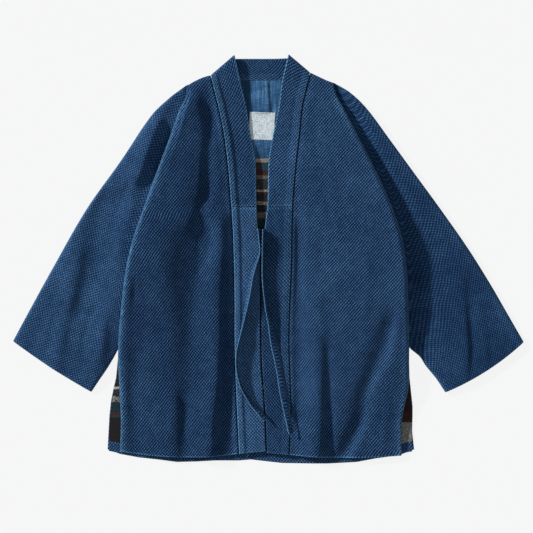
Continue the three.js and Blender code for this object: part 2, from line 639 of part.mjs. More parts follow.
// A closed body through rings of points, capped at both ends.
function tube(rings) {
  const count = rings[0].length;
  const positions = rings.flat().flatMap((p) => [p.x, p.y, p.z]);
  const at = (i, j) => i * count + (j % count);
  const index = [];
  for (let i = 0; i < rings.length - 1; i += 1) {
    for (let j = 0; j < count; j += 1) {
      index.push(at(i, j), at(i, j + 1), at(i + 1, j + 1), at(i, j), at(i + 1, j + 1), at(i + 1, j));
    }
  }
  for (let j = 1; j < count - 1; j += 1) {
    index.push(at(0, 0), at(0, j + 1), at(0, j));
    index.push(at(rings.length - 1, 0), at(rings.length - 1, j), at(rings.length - 1, j + 1));
  }
  const geometry = new THREE.BufferGeometry();
  geometry.setAttribute("position", new THREE.Float32BufferAttribute(positions, 3));
  geometry.setIndex(signedVolume(positions, index) < 0 ? turnedRound(index) : index);
  geometry.computeVertexNormals();
  return geometry;
}

// One armhole of the back from the shoulder down, divided as the sleeve's under layer is.
function armholeLine(side, inset) {
  const shares = sleeveShares(across(sleevePlan(side), 1), SLEEVE_UNDER_COLUMNS);
  return shares.map((share) => armhole(side, share, inset));
}

// The back's neck seam from left to right, this far below the collar's edge.
function neckSeam(inset) {
  return collarLines()
    .map((line) => line.outer[0])
    .filter((p) => p.z < CLOTH)
    .map((p) => ({ x: p.x, y: p.y - inset }));
}

// Where the back's shoulder line meets the neck, just outside the collar.
const shoulderPoint = (side) => ({
  x: lastRow(side).seamX + outwards[side] * SHOULDER_CORNER.out,
  y: lastRow(side).along - SHOULDER_CORNER.down,
});

function back() {
  const outline = [
    ...neckSeam(SEAM_GAP),
    shoulderPoint("right"),
    ...armholeLine("right", SEAM_GAP),
    ...BACK_SIDE.right,
    ...[...BACK_HEM].reverse(),
    ...[...BACK_SIDE.left].reverse(),
    ...armholeLine("left", SEAM_GAP).reverse(),
    shoulderPoint("left"),
  ];
  return flatPiece(outline.reverse(), CLOTH, 0);
}

// x of the back's armhole or side at a height y.
function backEdgeX(side, y) {
  const line = [...armholeLine(side, SEAM_GAP), ...BACK_SIDE[side]];
  for (let i = 0; i < line.length - 1; i += 1) {
    const [a, b] = [line[i], line[i + 1]];
    if (y <= a.y && y >= b.y) return mix(a.x, b.x, (a.y - y) / (a.y - b.y));
  }
  return line[line.length - 1].x;
}

// The back's hem as a line over x, and the top of the turned-up hem.
const hemY = (x) => through(BACK_HEM, "x", "y", x);
const hemSteps = steps(16).map((k) => mix(LINING_CORNER.left, LINING_CORNER.right, k));
const facingTop = (x) => hemY(x) + FACING_DEPTH;

// One side of a lining at these levels.
const sideOf = (side, levels) =>
  levels.map((y) => ({ x: backEdgeX(side, y) - outwards[side] * LINING_INSET, y }));

function yokeLining() {
  const top = neckSeam(LINING_INSET);
  const levels = steps(4).map((k) => mix(LINING_TOP_Y, YOKE_END_Y, k));
  const outline = [...sideOf("left", levels), ...sideOf("right", levels).reverse(), ...top.reverse()];
  return flatPiece(outline, LINING, LINING_Z);
}

function stripedLining() {
  const levels = steps(16).map((k) => mix(YOKE_END_Y - SEAM_GAP, STRIPES_SIDE_END_Y, k));
  const lower = hemSteps.map((x) => ({ x, y: facingTop(x) + SEAM_GAP }));
  const outline = [...sideOf("left", levels), ...lower, ...sideOf("right", levels).reverse()];
  return flatPiece(outline, LINING, LINING_Z);
}

function hemFacing() {
  const lower = hemSteps.map((x) => ({ x, y: hemY(x) + LINING_INSET }));
  const upper = hemSteps.map((x) => ({ x, y: facingTop(x) }));
  return flatPiece([...lower, ...upper.reverse()], LINING, LINING_Z);
}

function label() {
  const geometry = new THREE.BoxGeometry(LABEL.width, LABEL.height, LABEL.thickness);
  geometry.rotateZ(LABEL.turn);
  geometry.translate(LABEL.x, LABEL.y, LABEL_Z + LABEL.thickness / 2);
  return geometry;
}

const cloth = (color, roughness = 0.9) =>
  new THREE.MeshStandardMaterial({ color, roughness, metalness: 0, side: THREE.DoubleSide });
const SASHIKO = cloth(0x24486f);
const CHAMBRAY = cloth(0x46719f);
const STRIPES = cloth(0x3a2f2c);
const COTTON_TAPE = cloth(0xd9dede);

const pieces = [
  ["back", back(), SASHIKO],
  ["hem_facing", hemFacing(), SASHIKO],
  ["striped_lining", stripedLining(), STRIPES],
  ["yoke_lining", yokeLining(), CHAMBRAY],
  ["label", label(), COTTON_TAPE],
  ["collar", collar(), SASHIKO],
];
for (const side of ["left", "right"]) {
  pieces.push([`front_${side}`, front(side), SASHIKO]);
  const { upper, under } = sleeve(side);
  pieces.push([`sleeve_${side}`, upper, SASHIKO]);
  pieces.push([`sleeve_${side}_under`, under, SASHIKO]);
  pieces.push([`band_${side}`, band(side), SASHIKO]);
  pieces.push([`tie_${side}`, tie(side), SASHIKO]);
}

const haori = new THREE.Group();
for (const [name, geometry, material] of pieces) {
  const mesh = new THREE.Mesh(geometry, material);
  mesh.name = name;
  haori.add(mesh);
}

export default haori;
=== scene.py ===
"""An indigo haori jacket of thick sashiko cloth, laid flat on its back with its fronts closed."""
import math

import bpy
import numpy as np
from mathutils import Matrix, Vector


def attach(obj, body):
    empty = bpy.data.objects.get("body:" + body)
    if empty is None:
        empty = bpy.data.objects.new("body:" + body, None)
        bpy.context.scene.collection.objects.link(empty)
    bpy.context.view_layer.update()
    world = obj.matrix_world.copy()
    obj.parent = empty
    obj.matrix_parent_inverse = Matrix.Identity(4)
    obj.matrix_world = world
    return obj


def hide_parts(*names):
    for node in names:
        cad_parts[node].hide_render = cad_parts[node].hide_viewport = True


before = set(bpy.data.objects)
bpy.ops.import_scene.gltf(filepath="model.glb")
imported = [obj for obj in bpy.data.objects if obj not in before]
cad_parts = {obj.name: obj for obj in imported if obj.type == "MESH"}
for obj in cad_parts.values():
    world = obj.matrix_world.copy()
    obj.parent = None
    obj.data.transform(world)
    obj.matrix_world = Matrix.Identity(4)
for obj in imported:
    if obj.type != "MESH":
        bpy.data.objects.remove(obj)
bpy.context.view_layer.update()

# Millimetres, as on the pattern. +X is to the right and +Y towards the collar as seen from above, +Z up.
MM = 0.001

# Cloth
CLOTH = 1.6  # thickness of the sashiko cloth
LINING = 1.0  # thickness of the lining cloths
BAND = 3.0  # thickness of the collar and bands, which are folded double
BAND_WIDTH = 52  # from the band seam to the free edge
COLLAR_WIDTH = 43  # width of the collar across the back neck
SEAM_GAP = 0.5  # space left between two sewn pieces
LINING_Z = 1.9  # underside of the lining cloths on the back
ARMHOLE_Z = 7.2  # top of the sleeve where it meets the body

# The garment
NECK_SEAM_Y = 348.5  # centre of the back neck seam
COLLAR_TOP_Y = 391.5  # centre of the back collar's upper edge
UNDERARM_Y = -151  # where the sleeve seam meets the side seam
BAND_JOIN_Y = 100  # the seam across each band
YOKE_END_Y = 196  # lower edge of the yoke lining
STRIPES_SIDE_END_Y = -350  # the striped lining's sides end here
FACING_DEPTH = 21  # depth of the turned-up hem of the back
LINING_INSET = 1.5  # the linings end this far inside the back's edge
LINING_TOP_Y = 330  # the yoke lining's sides end here
LINING_CORNERS = (-301, 295)
OUTWARDS = {"left": -1, "right": 1}
# Each front, a row for each level. along: y on the band seam. seam_x: the seam's x. edge_x, edge_y: the
# outermost point of the side roll. seam_z, middle_z, edge_z: heights of the face. under_z: underside of
# the roll. lap: how far inside the roll's edge the sleeve is sewn on.
FRONT_COLUMNS = ("along", "seam_x", "edge_x", "edge_y", "seam_z", "middle_z", "edge_z", "under_z", "lap")
FRONT = {
    "left": (
        (-384, -45, -279, -380, 12, 13, 9, 3.8, 5),
        (-327, -48, -277, -320, 12, 18, 13, 3.8, 6),
        (-259, -51, -280, -249, 12, 22, 20, 4.2, 7),
        (-204, -53, -282, -196, 13, 25, 26, 7.8, 8),
        (-151, -54, -280, -147, 13, 27, 31, 7.8, 10),
        (-88, -54, -275, -96, 13, 28, 35, 7.8, 12),
        (-20, -55, -267, -27, 13, 28, 38, 7.8, 12),
        (45, -57, -251, 41, 14, 28, 38, 7.8, 12),
        (110, -61, -227, 110, 15, 27, 36, 7.8, 12),
        (182, -67, -201, 182, 16, 25, 32, 7.8, 11),
        (245, -75, -179, 241, 16, 23, 28, 7.8, 9),
        (294, -85, -162, 290, 16, 20, 23, 7.8, 6),
        (325, -93, -150, 317, 15, 17, 17, 6.5, 2),
        (359, -101, -148, 339, 14, 14, 13, 4.0, -1),
    ),
    "right": (
        (-386, 52, 274, -388, 12, 14, 9, 3.8, 5),
        (-327, 55, 274, -325, 12, 19, 14, 3.8, 6),
        (-292, 56, 280, -288, 12, 22, 17, 3.8, 6),
        (-259, 55, 287, -256, 12, 24, 21, 4.2, 7),
        (-204, 53, 288, -202, 12, 27, 28, 7.8, 8),
        (-151, 52, 288, -147, 12, 29, 34, 7.8, 10),
        (-88, 54, 286, -94, 12, 29, 42, 7.8, 12),
        (-20, 57, 283, -27, 12, 30, 46, 7.8, 12),
        (45, 58, 273, 41, 12, 30, 46, 7.8, 12),
        (110, 60, 250, 110, 12, 29, 43, 7.8, 12),
        (182, 66, 217, 182, 13, 26, 37, 7.8, 11),
        (245, 73, 187, 241, 13, 22, 30, 7.8, 9),
        (294, 78, 162, 290, 13, 19, 23, 7.8, 6),
        (325, 85, 148, 316, 13, 16, 17, 6.5, 2),
        (364, 95, 140, 344, 12, 13, 13, 4.0, -1),
    ),
}
HEM_DIP = {"left": 9, "right": 5}  # how far each front's hem sags between its two edges
HEM_DIP_FADE = 90
SHOULDER_BOW = {"left": 3, "right": 0.5}  # how far the shoulder line curves up
SHOULDER_BOW_FADE = 60
SHOULDER_ROLL = 12  # depth over which a front turns down to the back at the shoulder
SHOULDER_END_Z = (2.4, 9.4)  # face heights on the shoulder line, at the seam and over the sleeve
SHOULDER_SHARE = 0.55
FRONT_WIDTH = 190  # about the width of a front's face, for the spacing of its points
ROLL_REACH = 9  # how far a roll stands out past its centre, at most
ROLL_DEPTH = 5  # least height of a roll
ROLL_TUCK = (5, 2)  # the turned-under cloth ends this far past the armhole seam, and its least length
# Folds die away over these shares of a front beside its seam and roll, and this near a sleeve's edge.
FOLD_CALM = (0.06, 0.1, 25)
FOLD_FADE = 45  # a fold dies away over this length at its ends

# Soft folds, a row each: rise, width of the left slope, width of the right slope, points from the low end up.
FOLDS = {
    "front_left": (
        (9, 50, 18, ((-150, 60), (-130, 125), (-124, 192), (-120, 250), (-136, 322))),
        (-3, 14, 12, ((-108, 110), (-107, 192), (-101, 250), (-112, 315))),
        (8, 24, 15, ((-104, -400), (-100, -320), (-90, -240), (-86, -160), (-84, -82), (-83, 0), (-84, 84))),
        (5, 40, 36, ((-152, -200), (-164, -150), (-184, -72), (-196, -4), (-202, 66))),
        (4, 22, 13, ((-168, -400), (-168, -330), (-172, -260))),
        (2.5, 12, 10, ((-240, -190), (-240, -130), (-238, -80))),
    ),
    "front_right": (
        (7, 26, 15, ((109, -400), (113, -320), (115, -240), (114, -140), (108, -70))),
        (-6, 24, 14, ((152, -400), (178, -350), (200, -315), (204, -275), (214, -225), (238, -165),
                      (256, -110))),
        (-3, 8, 12, ((62, -400), (66, -280), (66, -140), (68, 16), (69, 140))),
    ),
    "sleeve_left": (
        (7, 32, 18, ((-256, 140), (-246, 155), (-234, 180), (-220, 215), (-204, 270))),
        (5, 24, 15, ((-406, -230), (-394, -150), (-372, -60), (-358, 20))),
        (-5.5, 24, 34, ((-356, -120), (-343, -60), (-330, -20), (-326, 16), (-322, 55), (-314, 94),
                        (-296, 133))),
        (3, 16, 14, ((-330, -230), (-310, -150), (-292, -80))),
    ),
    "sleeve_right": (
        (4, 34, 11, ((404, -240), (398, -130), (390, -40))),
        (2.5, 26, 20, ((355, -200), (348, -120), (340, -30))),
    ),
}

# The sleeves. outer: the fold along the top of the arm, from cuff to shoulder. inner: the underarm seam,
# from cuff to body. bow: how far the cuff curves out between its corners.
SLEEVE = {
    "left": {
        "bow": 3,
        "outer": ((-489, -163), (-455, -100), (-412, -22), (-345, 95), (-277, 191), (-217, 280), (-181, 315)),
        "inner": ((-335, -263), (-321, -242), (-302, -214), (-283, -180)),
    },
    "right": {
        "bow": 8,
        "outer": ((514, -165), (480, -106), (450, -54), (405, 18), (354, 91), (303, 161), (252, 231),
                  (206, 293), (173, 325)),
        "inner": ((360, -264), (342, -237), (321, -211), (310, -194), (288, -174)),
    },
}
SLEEVE_LENGTH = 520  # about the length of a sleeve, for the spacing of its points
SLEEVE_HEIGHT = ((0, 0.15, 0.5, 0.8, 1), (10.5, 12.5, 15, 15, 12))  # shares of the length, heights
SLEEVE_EDGE = 9  # width over which a sleeve rounds into its fold and its seam
SLEEVE_CROWN = 0.15  # share by which a sleeve is lower at its edges than along its middle
ARMHOLE_FALL = (3, 34)  # distances outside a roll where its sleeve starts to rise, and has its full height

# The free edge of each band: level on the band seam, x, y, height.
FREE_EDGE = {
    "left": (
        (-384, 7, -379, 12.5), (-327, 5, -327, 12), (-259, 1, -259, 13), (-204, -3, -204, 13),
        (-88, -4, -88, 13), (0, -4, 0, 13), (40, -5, 40, 14), (65, -9, 65, 14), (110, -11, 110, 12),
        (182, -13, 190, 10), (245, -22, 238, 10), (294, -31, 297, 12), (325, -41, 340, 15),
        (359, -54, 399, 16),
    ),
    "right": (
        (-386, 10, -382, 12), (-327, 8, -327, 12), (-259, 4, -259, 12), (-204, 0, -204, 12),
        (-88, -1, -88, 12), (0, -0.5, 0, 12), (40, 2, 40, 13), (65, 6, 65, 13), (110, 11, 110, 11),
        (182, 13, 190, 9.5), (245, 21, 238, 9.5), (294, 33, 297, 11), (325, 39, 345, 14), (364, 52, 400, 16),
    ),
}
SEAM_RIDGE = (1.3, 10, 5)  # height, width and slope of the seam allowance's ridge


def mix(a, b, k):
    """From a at 0 to b at 1."""
    return a + (b - a) * k


def smooth(k):
    """From 0 to 1, level at both ends."""
    k = np.clip(k, 0, 1)
    return k * k * (3 - 2 * k)


def round_edge(depth):
    """A quarter circle, 0 at the edge and 1 from depth 1 on."""
    return np.sqrt(1 - (1 - np.clip(depth, 0, 1)) ** 2)


def hump(distance, width):
    """1 at no distance, falling away on both sides: e to the minus square of distance / width."""
    return np.exp(-((distance / width) ** 2))


def distances(points):
    """Distance travelled along a line of points, at each of them."""
    return np.concatenate([[0], np.cumsum(np.hypot(*np.diff(points, axis=0).T))])


def curve(xs, ys):
    """A smooth curve through points, flat beyond its ends, as a function of arrays."""
    xs, ys = np.asarray(xs, float), np.asarray(ys, float)
    slope = np.empty_like(ys)
    slope[1:-1] = (ys[2:] - ys[:-2]) / (xs[2:] - xs[:-2])
    slope[0] = (ys[1] - ys[0]) / (xs[1] - xs[0])
    slope[-1] = (ys[-1] - ys[-2]) / (xs[-1] - xs[-2])

    def value(at):
        at = np.asarray(at, float)
        i = np.clip(np.searchsorted(xs, at) - 1, 0, len(xs) - 2)
        span = xs[i + 1] - xs[i]
        k = np.clip((at - xs[i]) / span, 0, 1)
        start = (1 + 2 * k) * (1 - k) ** 2 * ys[i] + k * (1 - k) ** 2 * span * slope[i]
        end = k * k * (3 - 2 * k) * ys[i + 1] + k * k * (k - 1) * span * slope[i + 1]
        return start + end

    return value


def rail(points):
    """x and y along a smooth curve through points, as functions of the share of its length."""
    p = np.array(points, float)
    travelled = distances(p)
    columns = [curve(travelled, p[:, k]) for k in range(p.shape[1])]

    def place(share):
        return [column(np.asarray(share) * travelled[-1]) for column in columns]

    return place


def curves(rows, names, first):
    """A curve along the first column for each named column from this one on."""
    columns = np.array(rows, float).T
    return {name: curve(columns[0], columns[k]) for k, name in enumerate(names, first)}


ROWS = {side: curves(rows, FRONT_COLUMNS, 0) for side, rows in FRONT.items()}
FREE = {side: curves(rows, "xyz", 1) for side, rows in FREE_EDGE.items()}
FIRST = {side: rows[0][0] for side, rows in FRONT.items()}
LAST = {side: rows[-1][0] for side, rows in FRONT.items()}


def folded(folds, x, y):
    """Height that soft folds add at x, y."""
    z = np.zeros(np.broadcast(x, y).shape)
    for rise, left, right, path in folds:
        low, high = path[0][1], path[-1][1]
        off = x - curve([p[1] for p in path], [p[0] for p in path])(y)
        width = np.where(off < 0, left, right)
        ends = smooth((y - low) / FOLD_FADE + 0.5) * smooth((high - y) / FOLD_FADE + 0.5)
        z += rise * hump(off, width) * ends
    return z


def side_edge(side, along):
    """The outermost point of a front's side roll at a level, and the direction outwards there."""
    step = 3
    rows = ROWS[side]
    start = np.maximum(FIRST[side], np.minimum(along, LAST[side]) - step)
    dx = rows["edge_x"](start + step) - rows["edge_x"](start)
    dy = rows["edge_y"](start + step) - rows["edge_y"](start)
    length = np.hypot(dx, dy)
    turn = OUTWARDS[side]
    return rows["edge_x"](along), rows["edge_y"](along), turn * dy / length, -turn * dx / length


def armhole(side, share, inset=0.0):
    """The armhole seam from the shoulder (0) to the underarm (1), moved inwards by inset."""
    along = mix(LAST[side], UNDERARM_Y, share)
    x, y, out_x, out_y = side_edge(side, along)
    inside = ROWS[side]["lap"](along) + inset
    return x - out_x * inside, y - out_y * inside


def front_z(side, along, u, x, y):
    """Height of a front's face. u: 0 at the band seam, 1 where the side roll begins."""
    rows = ROWS[side]
    seam, middle, edge = rows["seam_z"](along), rows["middle_z"](along), rows["edge_z"](along)
    body = seam * (1 - u) * (1 - 2 * u) + middle * 4 * u * (1 - u) + edge * u * (2 * u - 1)
    calm = smooth(u / FOLD_CALM[0]) * smooth((1 - u) / FOLD_CALM[1])
    face = body + folded(FOLDS["front_" + side], x, y) * calm
    over_sleeve = smooth((u - SHOULDER_SHARE) / (1 - SHOULDER_SHARE))
    end_z = mix(SHOULDER_END_Z[0], SHOULDER_END_Z[1], over_sleeve)
    return mix(end_z, face, round_edge((LAST[side] - along) / SHOULDER_ROLL))


# Finer form than the solids have

# Smaller folds, as in FOLDS.
WRINKLES = {
    "front_left": (
        (1.6, 9, 7, ((-206, 40), (-226, 0), (-238, -60))),
        (1.2, 8, 6, ((-232, -330), (-236, -260), (-228, -200))),
        (-1.3, 9, 7, ((-140, -395), (-150, -350), (-146, -300))),
        (1.2, 7, 9, ((-196, -395), (-204, -330), (-200, -280))),
        (-1.0, 6, 6, ((-128, -40), (-124, 20), (-130, 70))),
        (-5, 16, 20, ((-246, -395), (-248, -330), (-250, -260), (-244, -190), (-240, -130), (-248, -50))),
        (-4.5, 16, 9, ((-60, -395), (-62, -300), (-62, -200), (-64, -120), (-68, -40))),
        (3, 22, 12, ((-102, -400), (-98, -320), (-90, -240), (-86, -160), (-84, -82), (-84, 0))),
    ),
    "front_right": (
        (1.3, 10, 8, ((196, -130), (206, -60), (206, 10))),
        (1.4, 10, 9, ((150, 30), (140, 120), (128, 210))),
        (-1.3, 9, 7, ((130, -395), (132, -340), (126, -280))),
        (1.2, 8, 8, ((236, -395), (240, -340), (246, -290))),
        (4, 20, 15, ((102, -400), (105, -320), (107, -240), (105, -150))),
        (-3.5, 14, 8, ((136, -400), (136, -320), (132, -240), (130, -170))),
        (-3.5, 12, 10, ((76, -330), (76, -200), (75, -100), (74, 0), (74, 70))),
        (-5, 20, 10, ((160, -400), (184, -345), (196, -305), (202, -262), (226, -222), (242, -182),
                      (250, -140), (256, -110))),
        (1.0, 12, 9, ((158, -170), (166, -110), (162, -60))),
        (-1.0, 8, 8, ((110, 170), (104, 240), (104, 300))),
    ),
    "sleeve_left": (
        (-1.6, 9, 8, ((-352, -190), (-342, -130), (-326, -90))),
        (1.3, 10, 8, ((-430, -180), (-420, -130), (-404, -90))),
        (-1.2, 10, 8, ((-300, 40), (-282, 100), (-262, 150))),
        (3.5, 30, 16, ((-268, -20), (-262, 20), (-243, 120), (-222, 210), (-204, 270))),
    ),
    "sleeve_right": (
        (-2.2, 8, 7, ((408, -240), (412, -170), (404, -90))),
        (1.4, 9, 8, ((440, -200), (436, -150), (424, -90))),
        (1.2, 12, 9, ((320, 60), (300, 110), (276, 150))),
    ),
}
# Small folds that run across, as in FOLDS but with x and y changed round: rise, width below, width above.
CROSS_WRINKLES = {
    "front_left": ((1.1, 4, 6, ((92, -128), (86, -108), (90, -92))),
                   (-0.9, 6, 5, ((-36, -120), (-30, -98), (-34, -80)))),
    "front_right": ((0.9, 7, 6, ((236, 92), (228, 124), (234, 150))),
                    (0.8, 6, 8, ((-300, 70), (-292, 100), (-298, 130)))),
    "sleeve_left": ((0.9, 8, 7, ((-92, -430), (-84, -400), (-78, -370))),),
    "sleeve_right": ((0.9, 8, 7, ((-88, 400), (-80, 440), (-90, 470))),),
}
# Long folds whose depth changes along them, a row each: y, x, rise, width of the left and of the right slope.
LONG_FOLDS = {
    "front_left": (
        (
            (-400, -156, -4.5, 16, 16), (-340, -156, -6.5, 16, 17), (-290, -150, -6, 18, 18),
            (-240, -148, -5, 22, 20), (-190, -146, -6, 24, 20), (-150, -142, -9, 26, 18),
            (-105, -140, -10.5, 36, 18), (-60, -134, -11, 42, 18), (-20, -124, -11.5, 50, 18),
            (20, -109, -11, 56, 17), (60, -105, -9, 32, 16), (95, -126, -8.5, 36, 14),
            (125, -113, -8, 38, 18), (170, -115, -8, 40, 20), (215, -116, -8, 42, 20),
            (260, -107, -7.5, 44, 22), (300, -104, -5, 28, 18), (340, -108, 0, 20, 18),
        ),
    ),
    "front_right": (
        ((-330, 122, 0, 16, 10), (-240, 122, -1.5, 16, 10), (-140, 118, -2, 18, 12), (-60, 116, 0, 20, 14)),
    ),
    "sleeve_left": (
        ((-60, -300, 0, 20, 14), (40, -268, 1.5, 20, 14), (140, -236, 2, 18, 12), (240, -206, 0, 14, 10)),
    ),
    "sleeve_right": (
        ((-200, 330, 0, 24, 16), (-100, 352, -1.2, 24, 18), (0, 330, -1.5, 24, 18), (60, 300, 0, 20, 16)),
    ),
}
SEAM_GROOVE = (1.1, 2.4)  # depth and width of the dip beside each band seam
UNDULATION = 0.35  # height of the slow unevenness of thick cloth
SLEEVE_LIFT = 11  # the left sleeve lies this much higher at its armhole than its solid does
# A band's rise over its seam allowances, and its dip past them.
ALLOWANCE = {"left": (1.3, 0.5), "right": (0.5, 0.2)}
YOKE_HUMP = 2.5  # the yoke lining stands up this much under the bands
YOKE_PLEAT = (2.3, 3.5, 34)  # rise of the pleat in the yoke lining, width of its right edge, its own width
YOKE_PLEAT_PATH = ((19.5, 190), (17.5, 290), (14.5, 350))
THREAD = 0.7  # thickness of the sewing thread
NECK_THIN = 0.36  # the bands are this much thinner at their free edge beside the label


def wrinkled(name, x, y):
    """Height that the small folds of one piece add, those up the cloth and those across it."""
    z = folded(WRINKLES[name], x, y)
    for rise, below, above, path in CROSS_WRINKLES[name]:
        first, last = path[0][1], path[-1][1]
        off = y - curve([p[1] for p in path], [p[0] for p in path])(x)
        width = np.where(off < 0, below, above)
        ends = smooth((x - first) / 20 + 0.5) * smooth((last - x) / 20 + 0.5)
        z += rise * hump(off, width) * ends
    for rows in LONG_FOLDS[name]:
        ys = [row[0] for row in rows]
        path, rise, left, right = [curve(ys, [row[k] for row in rows])(y) for k in (1, 2, 3, 4)]
        off = x - path
        z += rise * hump(off, np.where(off < 0, left, right))
    return z


def uneven(x, y, phase):
    """A slow unevenness: sines in several directions, between 35 and 110 mm long."""
    waves = ((0.34, 0.056, 0.021, 0.0), (0.28, -0.034, 0.071, 1.9), (0.18, 0.112, -0.038, 4.2),
             (0.12, 0.083, 0.128, 2.6), (0.08, -0.15, 0.06, 0.7))
    return sum(h * np.sin(a * x + b * y + c + phase) for h, a, b, c in waves)


def shares(length, spacing, ends=(True, True), thickness=CLOTH):
    """Shares from 0 to 1 along a length, with a few more beside each open end, for its rounded edge."""
    near = np.array([0, 0.08, 0.3, 0.7, 1.3, 2.2]) * thickness / length
    start = near if ends[0] else np.array([0.0])
    end = 1 - near[::-1] if ends[1] else np.array([1.0])
    count = max(2, round(length / spacing))
    middle = np.linspace(start[-1], end[0], count + 1)[1:-1]
    return np.concatenate([start, middle, end])


def normals(face, ring=False, turn=1):
    """Unit normals of a grid of points: across its columns times along its rows."""
    if ring:
        across = np.roll(face, -1, 1) - np.roll(face, 1, 1)
    else:
        across = np.gradient(face, axis=1)
    normal = np.cross(across, np.gradient(face, axis=0))
    return turn * normal / np.maximum(np.linalg.norm(normal, axis=2, keepdims=True), 1e-9)


def edge_depth(face, sides):
    """Distance of each point of a grid from its open edges: first and last row, first and last column."""
    rows = np.linalg.norm(np.diff(face, axis=0), axis=2)
    columns = np.linalg.norm(np.diff(face, axis=1), axis=2)
    down = np.concatenate([np.zeros((1, face.shape[1])), np.cumsum(rows, 0)])
    over = np.concatenate([np.zeros((face.shape[0], 1)), np.cumsum(columns, 1)], 1)
    depths = (down, down[-1:] - down, over, over[:, -1:] - over)
    chosen = [d for d, is_open in zip(depths, sides) if is_open]
    return np.min(chosen, axis=0) if chosen else np.full(down.shape, 1e6)


def rounded_pair(outer, inner, depth, thickness, least=0.22):
    """Brings the two faces of a sheet together near its open edges, in a half circle."""
    k = np.maximum(least, round_edge(depth / (thickness * 0.9)))[..., None]
    middle = (outer + inner) / 2
    return middle + (outer - middle) * k, middle + (inner - middle) * k


def cloth_uv(face, along_angle, ring=False):
    """Places on the cloth in metres. u: distance across the thread direction, v: distance along it."""
    c, s = math.cos(math.radians(along_angle)), math.sin(math.radians(along_angle))
    closed = np.concatenate([face, face[:, :1]], 1) if ring else face
    step = np.diff(closed, axis=1)
    across = step[..., 0] * s - step[..., 1] * c
    turn = np.sign(across.sum(1, keepdims=True)) if not ring else np.ones((len(face), 1))
    run = np.cumsum(np.sqrt(across**2 + step[..., 2] ** 2) * turn, 1)
    u = closed[:, :1, 0] * s - closed[:, :1, 1] * c + np.concatenate([np.zeros((len(face), 1)), run], 1)
    v = closed[..., 0] * c + closed[..., 1] * s
    return np.stack([u, v], -1) * MM


def tube_faces(rings, sides):
    """The faces between the rings of a tube, and the ring and side at which each one starts.

    They face out where the points of a ring run from its left over its top, as seen along the tube.
    """
    i, j = [a.ravel() for a in np.meshgrid(np.arange(rings - 1), np.arange(sides), indexing="ij")]
    k = (j + 1) % sides
    return np.stack([i * sides + j, i * sides + k, (i + 1) * sides + k, (i + 1) * sides + j], 1), i, j


def facing_out(points, quads, places):
    """The faces of a closed shape, all turned round if they face inwards."""
    corner = points[quads]
    if np.einsum("ij,ij->i", corner[:, 0], np.cross(corner[:, 1], corner[:, 2])).sum() < 0:
        return quads[:, ::-1], places[:, ::-1]
    return quads, places


def shell(name, outer, inner, uv, ring=False, wear=None, deep=None):
    """A closed sheet between two grids of points. The columns close on themselves if it is a ring."""
    rows, columns = outer.shape[:2]
    points = np.concatenate([outer.reshape(-1, 3), inner.reshape(-1, 3)])
    i, j = np.meshgrid(np.arange(rows - 1), np.arange(columns if ring else columns - 1), indexing="ij")
    i, j = i.ravel(), j.ravel()
    k = (j + 1) % columns
    under = rows * columns
    grid_uv = uv.reshape(rows, -1, 2)

    def at(row, column):
        return row * columns + column

    quads = [np.stack([at(i, j), at(i, k), at(i + 1, k), at(i + 1, j)], 1)]
    places = [np.stack([grid_uv[i, j], grid_uv[i, j + 1], grid_uv[i + 1, j + 1], grid_uv[i + 1, j]], 1)]
    quads.append(under + quads[0][:, ::-1])
    places.append(places[0][:, ::-1])

    def rim(r0, c0, r1, c1, uv_a, uv_b):
        quads.append(np.stack([at(r0, c0), under + at(r0, c0), under + at(r1, c1), at(r1, c1)], 1))
        places.append(np.stack([uv_a, uv_a, uv_b, uv_b], 1))

    c = np.arange(columns if ring else columns - 1)
    d = (c + 1) % columns
    last = rows - 1
    rim(np.zeros_like(c), c, np.zeros_like(c), d, grid_uv[0, c], grid_uv[0, c + 1])
    rim(np.full_like(c, last), d, np.full_like(c, last), c, grid_uv[last, c + 1], grid_uv[last, c])
    if not ring:
        r = np.arange(rows - 1)
        rim(r + 1, np.zeros_like(r), r, np.zeros_like(r), grid_uv[1:, 0], grid_uv[:-1, 0])
        side = np.full_like(r, columns - 1)
        rim(r, side, r + 1, side, grid_uv[:-1, -1], grid_uv[1:, -1])
    quads, places = np.concatenate(quads), np.concatenate(places)
    quads, places = facing_out(points, quads, places)
    marks = {"wear": wear, "deep": deep}
    marks = {key: np.concatenate([m.ravel(), m.ravel()]) for key, m in marks.items() if m is not None}
    return put_in_mesh(name, points, quads, places, marks)


def put_in_mesh(name, points, quads, places, marks):
    """A mesh object from points in millimetres, faces of four, their places on the cloth and point marks."""
    mesh = bpy.data.meshes.new(name)
    mesh.vertices.add(len(points))
    mesh.vertices.foreach_set("co", (np.ascontiguousarray(points) * MM).astype(np.float32).ravel())
    mesh.loops.add(quads.size)
    mesh.loops.foreach_set("vertex_index", np.ascontiguousarray(quads).astype(np.int32).ravel())
    mesh.polygons.add(len(quads))
    mesh.polygons.foreach_set("loop_start", np.arange(0, quads.size, 4, dtype=np.int32))
    mesh.update(calc_edges=True)
    layer = mesh.uv_layers.new(name="UVMap")
    layer.data.foreach_set("uv", np.ascontiguousarray(places).astype(np.float32).ravel())
    for key in ("wear", "deep"):
        values = marks.get(key, np.zeros(len(points)))
        mesh.attributes.new(key, "FLOAT", "POINT").data.foreach_set("value", values.astype(np.float32))
    mesh.validate()
    mesh.shade_smooth()
    mesh.set_sharp_from_angle(angle=math.radians(50))
    piece = bpy.data.objects.new(name, mesh)
    bpy.context.scene.collection.objects.link(piece)
    return piece


def joined(name, shapes):
    """One mesh from (points, quads) pairs, with plain places on the cloth."""
    points, quads, count = [], [], 0
    for p, q in shapes:
        points.append(p)
        quads.append(q + count)
        count += len(p)
    points, quads = np.concatenate(points), np.concatenate(quads)
    return put_in_mesh(name, points, quads, points[quads][..., :2] * MM, {})


# The fronts

